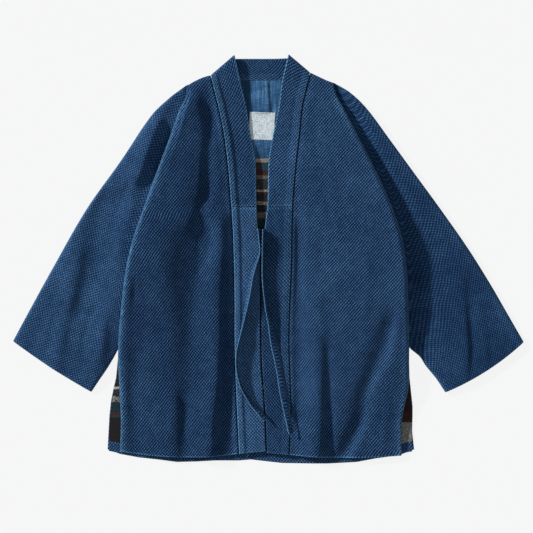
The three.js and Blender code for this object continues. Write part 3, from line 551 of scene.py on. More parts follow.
FRONT_GRAIN = {"left": 94, "right": 89.5}  # direction of the long threads of each front, in degrees

def lifted(side, y):
    """How much higher than its solid a sleeve lies at the armhole at y: on the left, below the chest."""
    return SLEEVE_LIFT * smooth((195 - y) / 95) * smooth((y + 190) / 90) * (side == "left")


def front_face(side, levels):
    """One front's upper face: rows of levels, columns from the band seam over the roll and under it."""
    rows = ROWS[side]
    along = levels[:, None]
    seam_x = rows["seam_x"](along)
    edge_x, edge_y, out_x, out_y = side_edge(side, along)
    top_z = front_z(side, along, 1.0, edge_x, edge_y)
    under_z = np.minimum(rows["under_z"](along) + lifted(side, along), top_z - ROLL_DEPTH)
    half = (top_z - under_z) / 2
    reach = np.minimum(half, ROLL_REACH)
    centre_x, centre_y = edge_x - out_x * reach, edge_y - out_y * reach
    dip = HEM_DIP[side] * (1 - smooth((along - FIRST[side]) / HEM_DIP_FADE))
    bow = SHOULDER_BOW[side] * smooth(1 - (LAST[side] - along) / SHOULDER_BOW_FADE)
    u = shares(FRONT_WIDTH, 2.4, (True, False))[None, :]
    x = mix(seam_x, centre_x, u)
    y = mix(along, centre_y, u) + (bow - dip) * 4 * u * (1 - u)
    width = np.hypot(centre_x - seam_x, centre_y - along)
    calm = smooth(u * width / 12) * smooth((1 - u) * width / 15) * smooth((LAST[side] - along) / 30)
    name = "front_" + side
    fine = wrinkled(name, x, y) + UNDULATION * uneven(x, y, OUTWARDS[side])
    z = front_z(side, along, u, x, y) + calm * fine
    z -= SEAM_GROOVE[0] * hump(u * width, SEAM_GROOVE[1]) * smooth((LAST[side] - along) / 20)
    angle = np.pi / 2 - np.linspace(0, np.pi, 15)[None, 1:]
    out = reach * np.cos(angle)
    roll_x, roll_y = centre_x + out_x * out, centre_y + out_y * out
    roll_z = under_z + half + half * np.sin(angle)
    tuck = np.maximum(ROLL_TUCK[1], rows["lap"](along) + ROLL_TUCK[0] - reach)
    past = tuck * np.array([0.5, 0.9, 1.0])[None]
    tuck_x, tuck_y = centre_x - out_x * past, centre_y - out_y * past
    x = np.concatenate([x, roll_x, tuck_x], 1)
    y = np.concatenate([y, roll_y, tuck_y], 1)
    z = np.concatenate([z, roll_z, np.broadcast_to(under_z, tuck_x.shape)], 1)
    return np.stack([x, y, z], -1), u.size


HEM_WEAR = (1.6, 2.0)  # how worn a front's hem is, and how wide
SEAM_WEAR = (0.45, 6, 6)  # how worn the cloth is beside the band seam, how far from it, and how wide
ROLL_WEAR = (0.95, 6, 15)  # how worn the roll is, how wide on the face and below its edge


def front(side):
    """One front: its face as in front_face, with the cloth's thickness inside it."""
    last = LAST[side]
    length = last - SHOULDER_ROLL - FIRST[side]
    lower = FIRST[side] + shares(length, 3.0, (True, False)) * length
    over = last - SHOULDER_ROLL * (1 - np.sin(np.linspace(0, np.pi / 2, 9)[1:]))
    levels = np.concatenate([lower, over])
    face, flat = front_face(side, levels)
    inner = face - CLOTH * normals(face, turn=OUTWARDS[side])
    depth = edge_depth(face, (True, False, True, True))
    outer, inner = rounded_pair(face, inner, depth, CLOTH)
    along_levels = levels[:, None]
    hem = along_levels - FIRST[side] + 0 * face[..., 0]
    seam = edge_depth(face, (False, False, True, False))
    run = edge_depth(face, (False, False, False, True))
    roll = run - run[:, flat + 5 : flat + 6]
    wear = HEM_WEAR[0] * hump(hem, HEM_WEAR[1]) + SEAM_WEAR[0] * hump(seam - SEAM_WEAR[1], SEAM_WEAR[2])
    roll_width = np.where(roll > 0, ROLL_WEAR[2], ROLL_WEAR[1])
    wear += ROLL_WEAR[0] * hump(roll, roll_width) * smooth((LAST[side] - along_levels) / 60)
    # Painted shade: the cloth is darkened along the band seam, where its groove is.
    deep = hump(seam, 2.2)
    return shell(f"{side}_front", outer, inner, cloth_uv(face, FRONT_GRAIN[side]), wear=wear, deep=deep)


# The sleeves

SLEEVE_GRAIN = {"left": 59.5, "right": 122}


def sleeve_plan(side):
    """x and y of a sleeve: a patch between cuff, outer fold, underarm seam and armhole."""
    part = SLEEVE[side]
    shoulder, underarm = armhole(side, 0.0), armhole(side, 1.0)
    outer_rail = rail([*part["outer"], tuple(float(v) for v in shoulder)])
    inner_rail = rail([*part["inner"], tuple(float(v) for v in underarm)])
    corners = [np.array(r(t), float) for t in (0, 1) for r in (outer_rail, inner_rail)]
    chord = np.hypot(*(corners[1] - corners[0]))
    wide, high = np.abs(corners[1] - corners[0])
    out = (OUTWARDS[side] * high / chord, -wide / chord)

    def plan(s, t):
        places = []
        for axis in (0, 1):
            cuff = mix(corners[0][axis], corners[1][axis], s) + out[axis] * part["bow"] * 4 * s * (1 - s)
            body = armhole(side, s)[axis]
            low = mix(corners[0][axis], corners[1][axis], s)
            top = mix(corners[2][axis], corners[3][axis], s)
            sides = mix(outer_rail(t)[axis], inner_rail(t)[axis], s)
            places.append(sides + mix(cuff, body, t) - mix(low, top, t))
        return places

    return plan


def sleeve(side):
    """One sleeve, a flattened tube: over the upper layer from the outer fold, and back under it."""
    plan = sleeve_plan(side)
    t = shares(SLEEVE_LENGTH, 3.2, (True, True))[:, None]
    ends = [np.array(plan(s, t)) for s in (0.0, 1.0)]
    width = np.hypot(*(ends[1] - ends[0]))
    turn = np.linspace(0, np.pi / 2, 8)[:-1]
    edge = SLEEVE_EDGE / 200
    rounding = edge * (1 - np.cos(turn))
    over = np.concatenate([rounding, np.linspace(edge, 1 - edge, 84), 1 - rounding[::-1]])
    under = np.concatenate([rounding, np.linspace(edge, 1 - edge, 40), 1 - rounding[::-1]])[1:-1][::-1]
    s = np.concatenate([over, under])[None, :]
    up = np.concatenate([np.ones(over.size), -np.ones(under.size)])[None, :]
    x, y = plan(s, t)
    beside = np.minimum(s, 1 - s) * width
    crown = 1 + SLEEVE_CROWN * (np.sin(np.pi * s) - 1)
    calm = round_edge(beside / FOLD_CALM[2])
    name = "sleeve_" + side
    free = curve(*SLEEVE_HEIGHT)(t) * crown + calm * folded(FOLDS[name], x, y)
    free = free + calm * (wrinkled(name, x, y) + UNDULATION * uneven(x, y, 2.4 + OUTWARDS[side]))
    edge_x, edge_y, out_x, out_y = side_edge(side, y)
    away = (x - edge_x) * out_x + (y - edge_y) * out_y
    fall = smooth((away - ARMHOLE_FALL[0]) / (ARMHOLE_FALL[1] - ARMHOLE_FALL[0]))
    height = mix(ARMHOLE_Z + lifted(side, y), free, fall)
    z = height / 2 * (1 + up * round_edge(beside / SLEEVE_EDGE))
    face = np.stack([x, y, z], -1)
    inner = face - CLOTH * normals(face, ring=True, turn=-OUTWARDS[side])
    depth = edge_depth(face, (True, False, False, False))
    outer, inner = rounded_pair(face, inner, depth, CLOTH)
    fold = hump(np.minimum(s, 1 - s) * width, 5)
    wear = 0.55 * fold + 0.5 * hump(depth, 2) + 0.25 * hump(s * width - 12, 7)
    # Painted shade: the sleeve is darkened at the armhole, where it runs in under the roll.
    deep = hump((1 - t) * SLEEVE_LENGTH, 7) + 0 * s
    uv = cloth_uv(face, SLEEVE_GRAIN[side], ring=True)
    return shell(f"{side}_sleeve", outer, inner, uv, ring=True, wear=wear, deep=deep)


# The bands and the collar

def band_point(side, level, s):
    """A point of a band's face: s is 0 on the band seam and 1 on the free edge."""
    free, rows = FREE[side], ROWS[side]
    seam_x = rows["seam_x"](level) - OUTWARDS[side] * SEAM_GAP
    width = np.hypot(free["x"](level) - seam_x, free["y"](level) - level)
    ridge = SEAM_RIDGE[0] * (1 - smooth((s * width - SEAM_RIDGE[1]) / SEAM_RIDGE[2]))
    z = mix(rows["seam_z"](level), free["z"](level), s) + ridge
    x, y = mix(seam_x, free["x"](level), s), mix(level, free["y"](level), s)
    return np.stack(np.broadcast_arrays(x, y, z), -1)


def band_columns():
    """Shares of a band's width, closer together at its seam ridge and its edges."""
    return shares(BAND_WIDTH, 1.6, (True, True), BAND)[None, :]


def soft_band(side, face, level, s):
    """A band's face with what sewing does to it.

    The seam allowances inside it raise its outer edge, and the cloth dips just past them. It dips at the seam
    across it, and lies slack between its seams.
    """
    x, y = face[..., 0], face[..., 1]
    calm = smooth(s * BAND_WIDTH / 8) * smooth((1 - s) * BAND_WIDTH / 5)
    rise, trough = ALLOWANCE[side]
    strong = 0.55 + 0.45 * smooth((level + 70) / 60)
    off = s * BAND_WIDTH
    raised = strong * (rise * (1 - smooth((off - 8.5) / 6.5)) - trough * hump(off - 18, 4))
    join = 0.5 * hump(level - BAND_JOIN_Y, 2.2)
    slack = calm * (0.45 * uneven(x * 1.3, y * 0.8, 5.1 * OUTWARDS[side]))
    moved = face.copy()
    moved[..., 2] += slack + raised - join
    return moved


def neck_zone(level):
    """1 where the band lies on the label and the yoke lining, 0 away from there."""
    return smooth((level - 165) / 30) * smooth((330 - level) / 40)


def band_wear(s, edge=1.0):
    """Light wear of a band: along the ridge of its seam and along its free edge."""
    return (0.45 * hump(s * BAND_WIDTH - 6, 4.5) + 1.5 * hump(s * BAND_WIDTH, 1.7)
            + 1.6 * edge * hump((1 - s) * BAND_WIDTH, 2.0))


def band_under(face, s, level):
    """The underside of a band, thinner at the free edge beside the label."""
    thickness = BAND * (1 - NECK_THIN * smooth((s - 0.72) / 0.28) * neck_zone(level))
    under = face.copy()
    under[..., 2] -= thickness
    return under


def band(side):
    """The lower part of a band, from the hem up to the seam across it."""
    length = BAND_JOIN_Y - SEAM_GAP / 2 - FIRST[side]
    level = FIRST[side] + shares(length, 2.6)[:, None] * length
    s = band_columns()
    face = soft_band(side, band_point(side, level, s), level, s)
    depth = edge_depth(face, (True, True, True, True))
    outer, inner = rounded_pair(face, band_under(face, s, level), depth, BAND / 2, 0.3)
    uv = np.stack(np.broadcast_arrays(s * BAND_WIDTH * OUTWARDS[side], level), -1) * MM
    edge = 0.25 + 0.75 * smooth((level - 40) / 40)
    wear = band_wear(s, edge) + 1.5 * hump(level - FIRST[side], 2)
    wear += 0.7 * hump(level - BAND_JOIN_Y, 5)
    # Painted shade: a thin darker line at the seam across the band.
    deep = 0.25 * hump(level - BAND_JOIN_Y, 1.2) + 0 * s
    return shell(f"{side}_band", outer, inner, uv, wear=wear, deep=deep)


def collar_side(side):
    """The upper part of one band, up to the shoulder and over it to the back: its face and its underside."""
    last = LAST[side]
    s = band_columns()
    length = last - SHOULDER_ROLL - BAND_JOIN_Y - SEAM_GAP / 2
    level = BAND_JOIN_Y + SEAM_GAP / 2 + shares(length, 2.6, (True, False))[:, None] * length
    face = soft_band(side, band_point(side, level, s), level, s)
    under = band_under(face, s, level)
    start, end = band_point(side, last - SHOULDER_ROLL, s[0]), band_point(side, last, s[0])
    half = start[:, 2] / 2
    away = end[:, :2] - start[:, :2]
    length = np.linalg.norm(away, axis=1)
    reach = np.maximum(0, length - half)
    away /= length[:, None]
    angle = (np.pi / 2 - np.linspace(0, np.pi, 19)[1:])[:, None]

    def turned(radius):
        out = reach + (half - radius) * np.cos(angle)
        place = start[None, :, :2] + away[None] * out[..., None]
        height = half + (half - radius) * np.sin(angle)
        return np.concatenate([place, height[..., None]], 2)

    return np.concatenate([face, turned(0)]), np.concatenate([under, turned(BAND)]), s


def collar():
    """The collar: up the left band, over the shoulder, across the back neck and down the right band."""
    left, left_under, s = collar_side("left")
    right, right_under, _ = collar_side("right")
    start, end = left[-1], right[-1]
    k = np.linspace(0, 1, 46)[1:-1, None]
    level = mix(NECK_SEAM_Y + SEAM_GAP, COLLAR_TOP_Y, s)
    blend = smooth(4 * k * (1 - k))
    x = mix(start[None, :, 0], end[None, :, 0], k)
    y = mix(mix(start[None, :, 1], end[None, :, 1], k), level, blend)
    seen = BAND + 0.5 * blend * uneven(x * 1.6, y, 0.8) * smooth(s * 8) * smooth((1 - s) * 8)
    off = s * COLLAR_WIDTH
    seen = seen + blend * (1.0 * (1 - smooth((off - 9) / 4)) - 0.4 * hump(off - 6, 1.1))
    outer = np.concatenate([left, np.stack([x, y, 0 * x], -1), right[::-1]])
    inner = np.concatenate([left_under, np.stack([x, y, seen], -1), right_under[::-1]])
    middle = (outer + inner) / 2
    depth = edge_depth(middle, (True, True, True, True))
    outer, inner = rounded_pair(outer, inner, depth, BAND / 2, 0.3)
    steps = np.linalg.norm(np.diff(middle[:, middle.shape[1] // 2], axis=0), axis=1)
    v = np.concatenate([[0], np.cumsum(steps)])[:, None] + BAND_JOIN_Y
    uv = np.stack(np.broadcast_arrays(s * BAND_WIDTH + 0 * v, v + 0 * s), -1) * MM
    ends = np.minimum(v - BAND_JOIN_Y, v[-1] - v)
    wear = band_wear(s) + 0.7 * hump(ends, 5)
    # Painted shade: a thin darker line at the seams across the bands, at the collar's two ends.
    deep = 0.25 * hump(ends, 1.2) + 0 * s
    return shell("upper_bands_and_collar", outer, inner, uv, wear=wear, deep=deep), outer[:, 0]


# The back and the linings

def along_line(points):
    """x and y along a line of straight pieces, as a function of the share of its length."""
    p = np.array(points, float)
    travelled = distances(p)

    def place(share):
        at = np.asarray(share) * travelled[-1]
        return np.stack([np.interp(at, travelled, p[:, axis]) for axis in (0, 1)], -1)

    return place


def patch(bottom, top, left, right, across, along):
    """A grid in plan between four lines: a blend of the two pairs less the blend of their corners."""
    u, v = across[None, :, None], along[:, None, None]
    sides = mix(left(along)[:, None], right(along)[:, None], u)
    ends = mix(bottom(across)[None], top(across)[None], v)
    low = mix(bottom(0.0), bottom(1.0), u)
    high = mix(top(0.0), top(1.0), u)
    return sides + ends - mix(low, high, v)


def flat_cloth(name, outline, spacing, thickness, low, grain=90, raised=None, wear=0.0):
    """A piece of cloth that lies flat, from height low up by its thickness.

    outline holds its lower, upper, left and right line of points. raised gives the extra height of both faces
    at x, y.
    """
    lines = [along_line(points) for points in outline]
    size = [np.hypot(*np.diff(line(np.linspace(0, 1, 60)), axis=0).T).sum() for line in lines]
    across = shares(max(size[0], size[1]), spacing, (True, True), thickness)
    along = shares(max(size[2], size[3]), spacing, (True, True), thickness)
    place = patch(*lines, across, along)
    extra = 0 if raised is None else raised(place[..., 0], place[..., 1])
    upper = np.concatenate([place, (low + thickness + extra + 0 * place[..., 0])[..., None]], 2)
    under = np.concatenate([place, (low + extra + 0 * place[..., 0])[..., None]], 2)
    depth = edge_depth(upper, (True, True, True, True))
    upper, rounded = rounded_pair(upper, under, depth, thickness, 0.25)
    if low == 0:
        rounded[..., 2] = np.where(depth > 0.3 * thickness, 0, rounded[..., 2])
    edge = wear * hump(depth, 1.6)
    return shell(name, upper, rounded, cloth_uv(upper, grain), wear=edge)


BACK_SIDE = {
    "left": ((-283, -196), (-287, -235), (-292, -257), (-297, -282), (-300, -310), (-302, -347),
             (-303.5, -376)),
    "right": ((289, -196), (290, -235), (293, -263), (296, -291), (296, -310), (295, -340), (299, -376)),
}
BACK_HEM = (
    (-303, -380), (-280, -385), (-242, -392), (-205, -396), (-167, -401), (-130, -400), (-92, -398),
    (-45, -398), (-22, -396), (13, -400), (40, -403), (100, -404), (130, -404), (186, -401), (223, -394),
    (253, -390), (277, -385), (297, -381),
)
hem_y = curve([p[0] for p in BACK_HEM], [p[1] for p in BACK_HEM])


def back_side(side, inset):
    """The edge of the back from the shoulder down its armhole and side to the hem."""
    share = np.linspace(0, 1, 90)
    x, y = armhole(side, share, inset)
    lower = [(px - OUTWARDS[side] * max(0, inset - SEAM_GAP), py) for px, py in BACK_SIDE[side]]
    return [*zip(x.tolist(), y.tolist()), *lower]


def shoulder_corner(side):
    """Where the back's shoulder seam meets its neck seam."""
    return float(ROWS[side]["seam_x"](LAST[side]) + OUTWARDS[side]), float(LAST[side] - 3)


def back_x(side, y):
    """x of the back's edge at a height y."""
    line = np.array(back_side(side, SEAM_GAP))[::-1]
    return np.interp(y, line[:, 1], line[:, 0])


def neck_line(collar_edge, inset):
    """The back's neck seam from left to right, this far below the collar's edge."""
    on_back = collar_edge[collar_edge[:, 2] < CLOTH]
    return [(x, y - inset) for x, y, _ in on_back]


def side_points(side, levels):
    """The side of a lining, just inside the back's edge."""
    return [(float(back_x(side, y)) - OUTWARDS[side] * LINING_INSET, float(y)) for y in levels]


def back(collar_edge):
    """The back, flat on the surface, from the hem to the neck seam."""
    sides = {side: back_side(side, SEAM_GAP)[::-1] for side in OUTWARDS}
    neck = [shoulder_corner("left"), *neck_line(collar_edge, 0.03), shoulder_corner("right")]
    top = [sides["left"][-1], *neck, sides["right"][-1]]
    hem = [sides["left"][0], *BACK_HEM[1:-1], sides["right"][0]]
    outline = (hem, top, sides["left"], sides["right"])
    return flat_cloth("back_cloth", outline, 4.5, CLOTH, 0, wear=0.2)


def yoke_raised(x, y):
    """Height of the yoke lining over the flat: a low hump under the label, with one pleat down it."""
    swell = YOKE_HUMP * smooth((y - 186) / 40) * smooth((352 - y) / 46) * np.exp(-((x / 62) ** 4))
    off = x - curve([p[1] for p in YOKE_PLEAT_PATH], [p[0] for p in YOKE_PLEAT_PATH])(y)
    rise, edge, width = YOKE_PLEAT
    pleat = rise * (1 - smooth((off + edge) / edge)) * smooth((off + width) / 12) * smooth((y - 282) / 8)
    return swell + pleat * smooth((350 - y) / 9) + 0.25 * uneven(x * 1.5, y, 4.0)


def yoke_lining(collar_edge):
    """The chambray inside the upper back, up to the neck seam."""
    levels = np.linspace(YOKE_END_Y, LINING_TOP_Y, 12)
    sides = {side: side_points(side, levels) for side in OUTWARDS}
    hem = [sides["left"][0], sides["right"][0]]
    top = [sides["left"][-1], *neck_line(collar_edge, 0.1), sides["right"][-1]]
    outline = (hem, top, sides["left"], sides["right"])
    return flat_cloth("yoke_cloth", outline, 2.2, LINING, LINING_Z, raised=yoke_raised, wear=0.1)


def lining_raised(x, y):
    """The striped lining's upper edge turns up a little onto the yoke, and its cloth is never quite flat."""
    return 0.9 * hump(YOKE_END_Y - y, 5) + 0.25 * (1 + uneven(x * 1.2, y * 1.4, 3.3))


def striped_lining():
    """The blanket cloth inside the back, from the yoke lining down to the turned-up hem."""
    x = np.linspace(*LINING_CORNERS, 60)
    levels = np.linspace(YOKE_END_Y - SEAM_GAP, STRIPES_SIDE_END_Y, 60)[::-1]
    hem = np.stack([x, hem_y(x) + FACING_DEPTH + SEAM_GAP], 1).tolist()
    sides = {side: side_points(side, levels) for side in OUTWARDS}
    for side, k in (("left", 0), ("right", -1)):
        sides[side] = [tuple(hem[k]), *sides[side]]
    top = [sides["left"][-1], sides["right"][-1]]
    outline = (hem, top, sides["left"], sides["right"])
    return flat_cloth("striped_cloth", outline, 3.4, LINING, LINING_Z, raised=lining_raised)


def hem_facing():
    """The back's own hem, turned up inside."""
    x = np.linspace(*LINING_CORNERS, 60)
    low, high = [np.stack([x, hem_y(x) + rise], 1).tolist() for rise in (LINING_INSET, FACING_DEPTH)]
    outline = (low, high, (low[0], high[0]), (low[-1], high[-1]))
    return flat_cloth("turned_up_hem", outline, 2.6, LINING, LINING_Z, wear=0.8)


LABEL = {"width": 50, "height": 54, "thickness": 0.8, "y": 259, "turn": -0.04}
LABEL_Z = LINING_Z + LINING + 0.3


def label_corners(inset):
    """The label's corners this far inside its edges: low left, low right, high right, high left."""
    w, h = LABEL["width"] / 2 - inset, LABEL["height"] / 2 - inset
    c, s = math.cos(LABEL["turn"]), math.sin(LABEL["turn"])
    return [(x * c - y * s, LABEL["y"] + x * s + y * c) for x, y in ((-w, -h), (w, -h), (w, h), (-w, h))]


def label_raised(x, y):
    """Height of the label over the flat: nearly that of the yoke lining under it."""
    return yoke_raised(x, y) * 0.97 + 0.1 + 0.15 * uneven(x * 2, y * 2, 1.0)


def label():
    """The bare label, sewn on the yoke lining and following its hump."""
    a, b, c, d = label_corners(0)
    outline = ((a, b), (d, c), (a, d), (b, c))
    grain = 90 + math.degrees(LABEL["turn"])
    return flat_cloth("bare_label", outline, 1.6, LABEL["thickness"], LABEL_Z, grain, label_raised, 0.6)


# The ties. Rows of x, y and how far the tie stands on its edge, in degrees; 0 lies flat.

TIES = {  # their turns differ a little from the solids, which keep off the bands
    "left": (
        (-6, 58, 70), (-4.5, 34, 80), (-4, 12, 92), (-12, -12, 108), (-20, -38, 114), (-26, -72, 115),
        (-33, -107, 110), (-39, -136, 98), (-44.5, -162, 88), (-49, -187, 82), (-48.5, -221, 80),
        (-40, -253, 76), (-28, -274, 70), (-14, -293, 58), (-3, -305, 48), (7, -317, 38),
    ),
    "right": (
        (3, 56, 80), (2.5, 30, 80), (2, 0, 80), (2, -38, 80), (8.3, -92, 70), (16, -131, 55), (23, -168, 35),
        (29, -192, 25), (34.5, -222, 22), (39.5, -255, 22), (45, -282, 25), (51, -312, 32), (57.5, -347, 42),
    ),
}
TIE_WIDTH = 14
TIE_THICKNESS = 2.4
TIE_CLEARANCE = 0.5
TIE_TIP_RISE = 4.5
TIE_CRIMP = {"left": (0.35, 7.5), "right": (0.9, 6.6)}  # height and spacing of the crimps of the last knot
TIE_SQUARE = (0.35, 0.75)  # the powers that make its section a flat one with round edges


def band_top(x, y):
    """Face height of the bands under a tie at x, y."""
    past = 0.2
    top = np.zeros(np.broadcast(x, y).shape)
    for side in OUTWARDS:
        seam_x, free_x = ROWS[side]["seam_x"](y), FREE[side]["x"](y)
        s = (x - seam_x) / (free_x - seam_x)
        height = band_point(side, y, np.clip(s, 0, 1))[..., 2]
        top = np.where((s < -past) | (s > 1 + past), top, np.maximum(top, height))
    return top


def tie(side):
    """A tie: a ribbon with rounded edges, turned about its route and lifted clear of the bands."""
    p = np.array(TIES[side], float)
    travelled = distances(p[:, :2])
    length = travelled[-1]
    at = np.linspace(0, length, 240)
    x, y, turn = [curve(travelled, p[:, k])(at) for k in range(3)]
    onwards = np.gradient(np.stack([x, y], 1), axis=0)
    onwards /= np.linalg.norm(onwards, axis=1, keepdims=True)
    sideways = np.stack([onwards[:, 1], -onwards[:, 0], 0 * x], 1)
    turn = np.radians(turn)[:, None]
    up = np.array([[0.0, 0.0, 1.0]])
    across = sideways * np.cos(turn) + up * np.sin(turn)
    outwards = -sideways * np.sin(turn) + up * np.cos(turn)
    angle = np.linspace(0, 2 * np.pi, 28, endpoint=False)[None, :]
    w = np.sign(np.cos(angle)) * np.abs(np.cos(angle)) ** TIE_SQUARE[0]
    d = np.sign(np.sin(angle)) * np.abs(np.sin(angle)) ** TIE_SQUARE[1]
    end = length - at[:, None]
    taper = 0.35 + 0.65 * round_edge(end / 16) if side == "right" else 0.86 + 0.14 * smooth(end / 12)
    width = TIE_WIDTH / 2 * taper * (1 + 0.05 * np.sin(at[:, None] / 17))
    rise, spacing = TIE_CRIMP[side]
    phase = at[:, None] + 1.6 * np.sin(at[:, None] / 11) + 0.7 * w
    strong = (0.55 + 0.45 * np.sin(at[:, None] / 23)) * (1 - 0.4 * w**2)
    crimp = rise * np.sin(phase * 2 * np.pi / spacing) * strong
    cup = 0.5 * w**2
    ring = (np.stack([x, y, 0 * x], 1)[:, None] + across[:, None] * (w * width)[..., None]
            + outwards[:, None] * (d * TIE_THICKNESS / 2 + crimp - cup)[..., None])
    lift = (band_top(ring[..., 0], ring[..., 1]) + TIE_CLEARANCE - ring[..., 2]).max(1)
    ring[..., 2] += np.convolve(np.pad(lift, 4, "edge"), np.ones(9) / 9, "valid")[:, None]
    ring[..., 2] += TIE_TIP_RISE * smooth(1 - end / 40)
    closed = [mix(row.mean(1, keepdims=True), row, 0.02) for row in (ring[:1], ring[-1:])]
    ring = np.concatenate([closed[0], ring, closed[1]])
    v = np.concatenate([[0], at, [length]])[:, None]
    columns = np.arange(29)[None, :]
    u = TIE_WIDTH * np.where(columns <= 14, columns / 14, 2 - columns / 14)
    uv = np.stack(np.broadcast_arrays(u, v), -1) * MM
    rim = np.abs(np.broadcast_to(w, ring.shape[:2]))
    wear = 1.9 * smooth((rim - 0.82) / 0.15) + 0.8 * hump(length - v, 5)
    rows, columns = ring.shape[:2]
    quads, i, j = tube_faces(rows, columns)
    places = np.stack([uv[i, j], uv[i, j + 1], uv[i + 1, j + 1], uv[i + 1, j]], 1)
    half = columns // 2
    for row, flip in ((0, 1), (rows - 1, -1)):
        a = np.arange(half - 1)
        cap = np.stack([a, a + 1, columns - 2 - a, columns - 1 - a], 1) + row * columns
        quads = np.concatenate([quads, cap[:, ::-flip]])
        places = np.concatenate([places, np.repeat(uv[row, :1][None], len(cap), 0).repeat(4, 1)])
    points = ring.reshape(-1, 3)
    quads, places = facing_out(points, quads, places)
    return put_in_mesh(f"{side}_tie", points, quads, places, {"wear": wear.ravel()})


# Finishes

class Value:
    """A number in a finish: adds a maths node for each sum, product or power of it."""

    def __init__(self, finish, socket):
        self.finish, self.socket = finish, socket

    def maths(self, operation, *terms, clamp=False):
        sockets = {i: term for i, term in enumerate(terms)}
        return self.finish.node("ShaderNodeMath", {"operation": operation, "use_clamp": clamp}, sockets).out()

    def __add__(self, other):
        return self.maths("ADD", self, other)

    def __radd__(self, other):
        return self.maths("ADD", other, self)

    def __sub__(self, other):
        return self.maths("SUBTRACT", self, other)

    def __rsub__(self, other):
        return self.maths("SUBTRACT", other, self)

    def __mul__(self, other):
        return self.maths("MULTIPLY", self, other)

    def __rmul__(self, other):
        return self.maths("MULTIPLY", other, self)

    def __pow__(self, other):
        return self.maths("POWER", self, other)

    def sine(self):
        return self.maths("SINE", self)

    def within(self):
        """Kept between 0 and 1."""
        return self.maths("ADD", self, 0.0, clamp=True)


class Made:
    """A node that has been added, and its outputs by name or number."""

    def __init__(self, finish, node):
        self.finish, self.raw = finish, node

    def out(self, key=0):
        return Value(self.finish, self.raw.outputs[key])


class Finish:
    """A material, with one method that adds any node."""

    def __init__(self, name, roughness=0.9, sheen=0.15, sheen_tint=(0.3, 0.5, 0.8, 1)):
        self.material = bpy.data.materials.new(name)
        self.material.use_nodes = True
        self.nodes = self.material.node_tree.nodes
        self.links = self.material.node_tree.links
        self.surface = next(n for n in self.nodes if n.type == "BSDF_PRINCIPLED")
        for key, value in {"Roughness": roughness, "Sheen Weight": sheen, "Sheen Roughness": 0.45,
                           "Sheen Tint": sheen_tint, "Specular IOR Level": 0.05}.items():
            self.surface.inputs[key].default_value = value

    def node(self, kind, settings=None, sockets=None):
        """Adds a node: first its settings, such as a ramp's stops, then its sockets' values or links."""
        node = self.nodes.new(kind)
        for key, value in (settings or {}).items():
            if key == "stops":
                self.set_stops(node.color_ramp, *value)
            else:
                setattr(node, key, value)
        for key, value in (sockets or {}).items():
            self.put(node.inputs[key], value)
        return Made(self, node)

    @staticmethod
    def set_stops(ramp, stops, interpolation):
        ramp.interpolation = interpolation
        ramp.elements.remove(ramp.elements[-1])
        ramp.elements[0].position, ramp.elements[0].color = stops[0][0], (*stops[0][1], 1)
        for position, colour in stops[1:]:
            ramp.elements.new(position).color = (*colour, 1)

    def put(self, socket, value):
        if isinstance(value, Value):
            self.links.new(value.socket, socket)
        elif isinstance(value, tuple) and len(value) == 3 and len(getattr(socket, "default_value", ())) == 4:
            socket.default_value = (*value, 1)
        else:
            socket.default_value = value

    def cloth_place(self):
        """The place on the cloth in millimetres: across the threads, and along them."""
        place = self.node("ShaderNodeTexCoord").out("UV")
        parts = self.node("ShaderNodeSeparateXYZ", None, {0: place})
        return parts.out("X") * 1000, parts.out("Y") * 1000

    def object_place(self):
        """The place on the garment in millimetres."""
        parts = self.node("ShaderNodeSeparateXYZ", None, {0: self.node("ShaderNodeTexCoord").out("Object")})
        return parts.out("X") * 1000, parts.out("Y") * 1000, parts.out("Z") * 1000

    def join(self, x, y, z=0.0):
        return self.node("ShaderNodeCombineXYZ", None, {0: x, 1: y, 2: z}).out()

    def noise(self, place, size, detail=2.0, rough=0.5):
        """Noise from 0 to 1 about 0.5; size is the width of its blots, in the place's units."""
        return self.node("ShaderNodeTexNoise", {"noise_dimensions": "3D"}, {
            "Vector": place, "Scale": 1 / size, "Detail": detail, "Roughness": rough,
        }).out(0)

    def ramp(self, value, stops, interpolation="LINEAR"):
        """The colour at a value from 0 to 1, of stops that are pairs of place and colour."""
        return self.node("ShaderNodeValToRGB", {"stops": (stops, interpolation)}, {0: value}).out()

    def blend(self, factor, a, b):
        """Colour a, with colour b laid over it by the factor."""
        return self.node("ShaderNodeMix", {"data_type": "RGBA"}, {0: factor, 6: a, 7: b}).out(2)

    def step(self, value, low, high):
        """0 below low, 1 above high, soft between."""
        return self.node("ShaderNodeMapRange", {"interpolation_type": "SMOOTHSTEP"},
                         {0: value, 1: low, 2: high, 3: 0.0, 4: 1.0}).out()

    def mark(self, name):
        """A mark kept on the points of the piece, such as wear."""
        return self.node("ShaderNodeAttribute", {"attribute_name": name}).out("Fac")

    def end(self, colour, height):
        """Sets the colour, and the relief from a height in millimetres."""
        self.put(self.surface.inputs["Base Color"], colour)
        bump = self.node("ShaderNodeBump", None, {"Strength": 1.0, "Distance": MM, "Height": height})
        self.put(self.surface.inputs["Normal"], bump.out())
        return self.material


# Sashiko cloth: two sets of diagonal ridges that cross, so that the cloth is covered in small lozenges.
# A lozenge is this wide, and this long in the direction of the long threads.
LOZENGE = (6.03, 6.93)
INDIGO_DARK = (0.0022, 0.0096, 0.031)
INDIGO = (0.0114, 0.039, 0.105)
INDIGO_LIGHT = (0.05, 0.118, 0.236)
INDIGO_WORN = (0.082, 0.215, 0.37)
INDIGO_STOPS = (
    (0.0, INDIGO_DARK), (0.26, tuple(0.62 * c for c in INDIGO)), (0.5, INDIGO), (0.76, INDIGO_LIGHT),
    (1.0, tuple(1.5 * c for c in INDIGO_LIGHT)),
)
TURN = 2 * math.pi


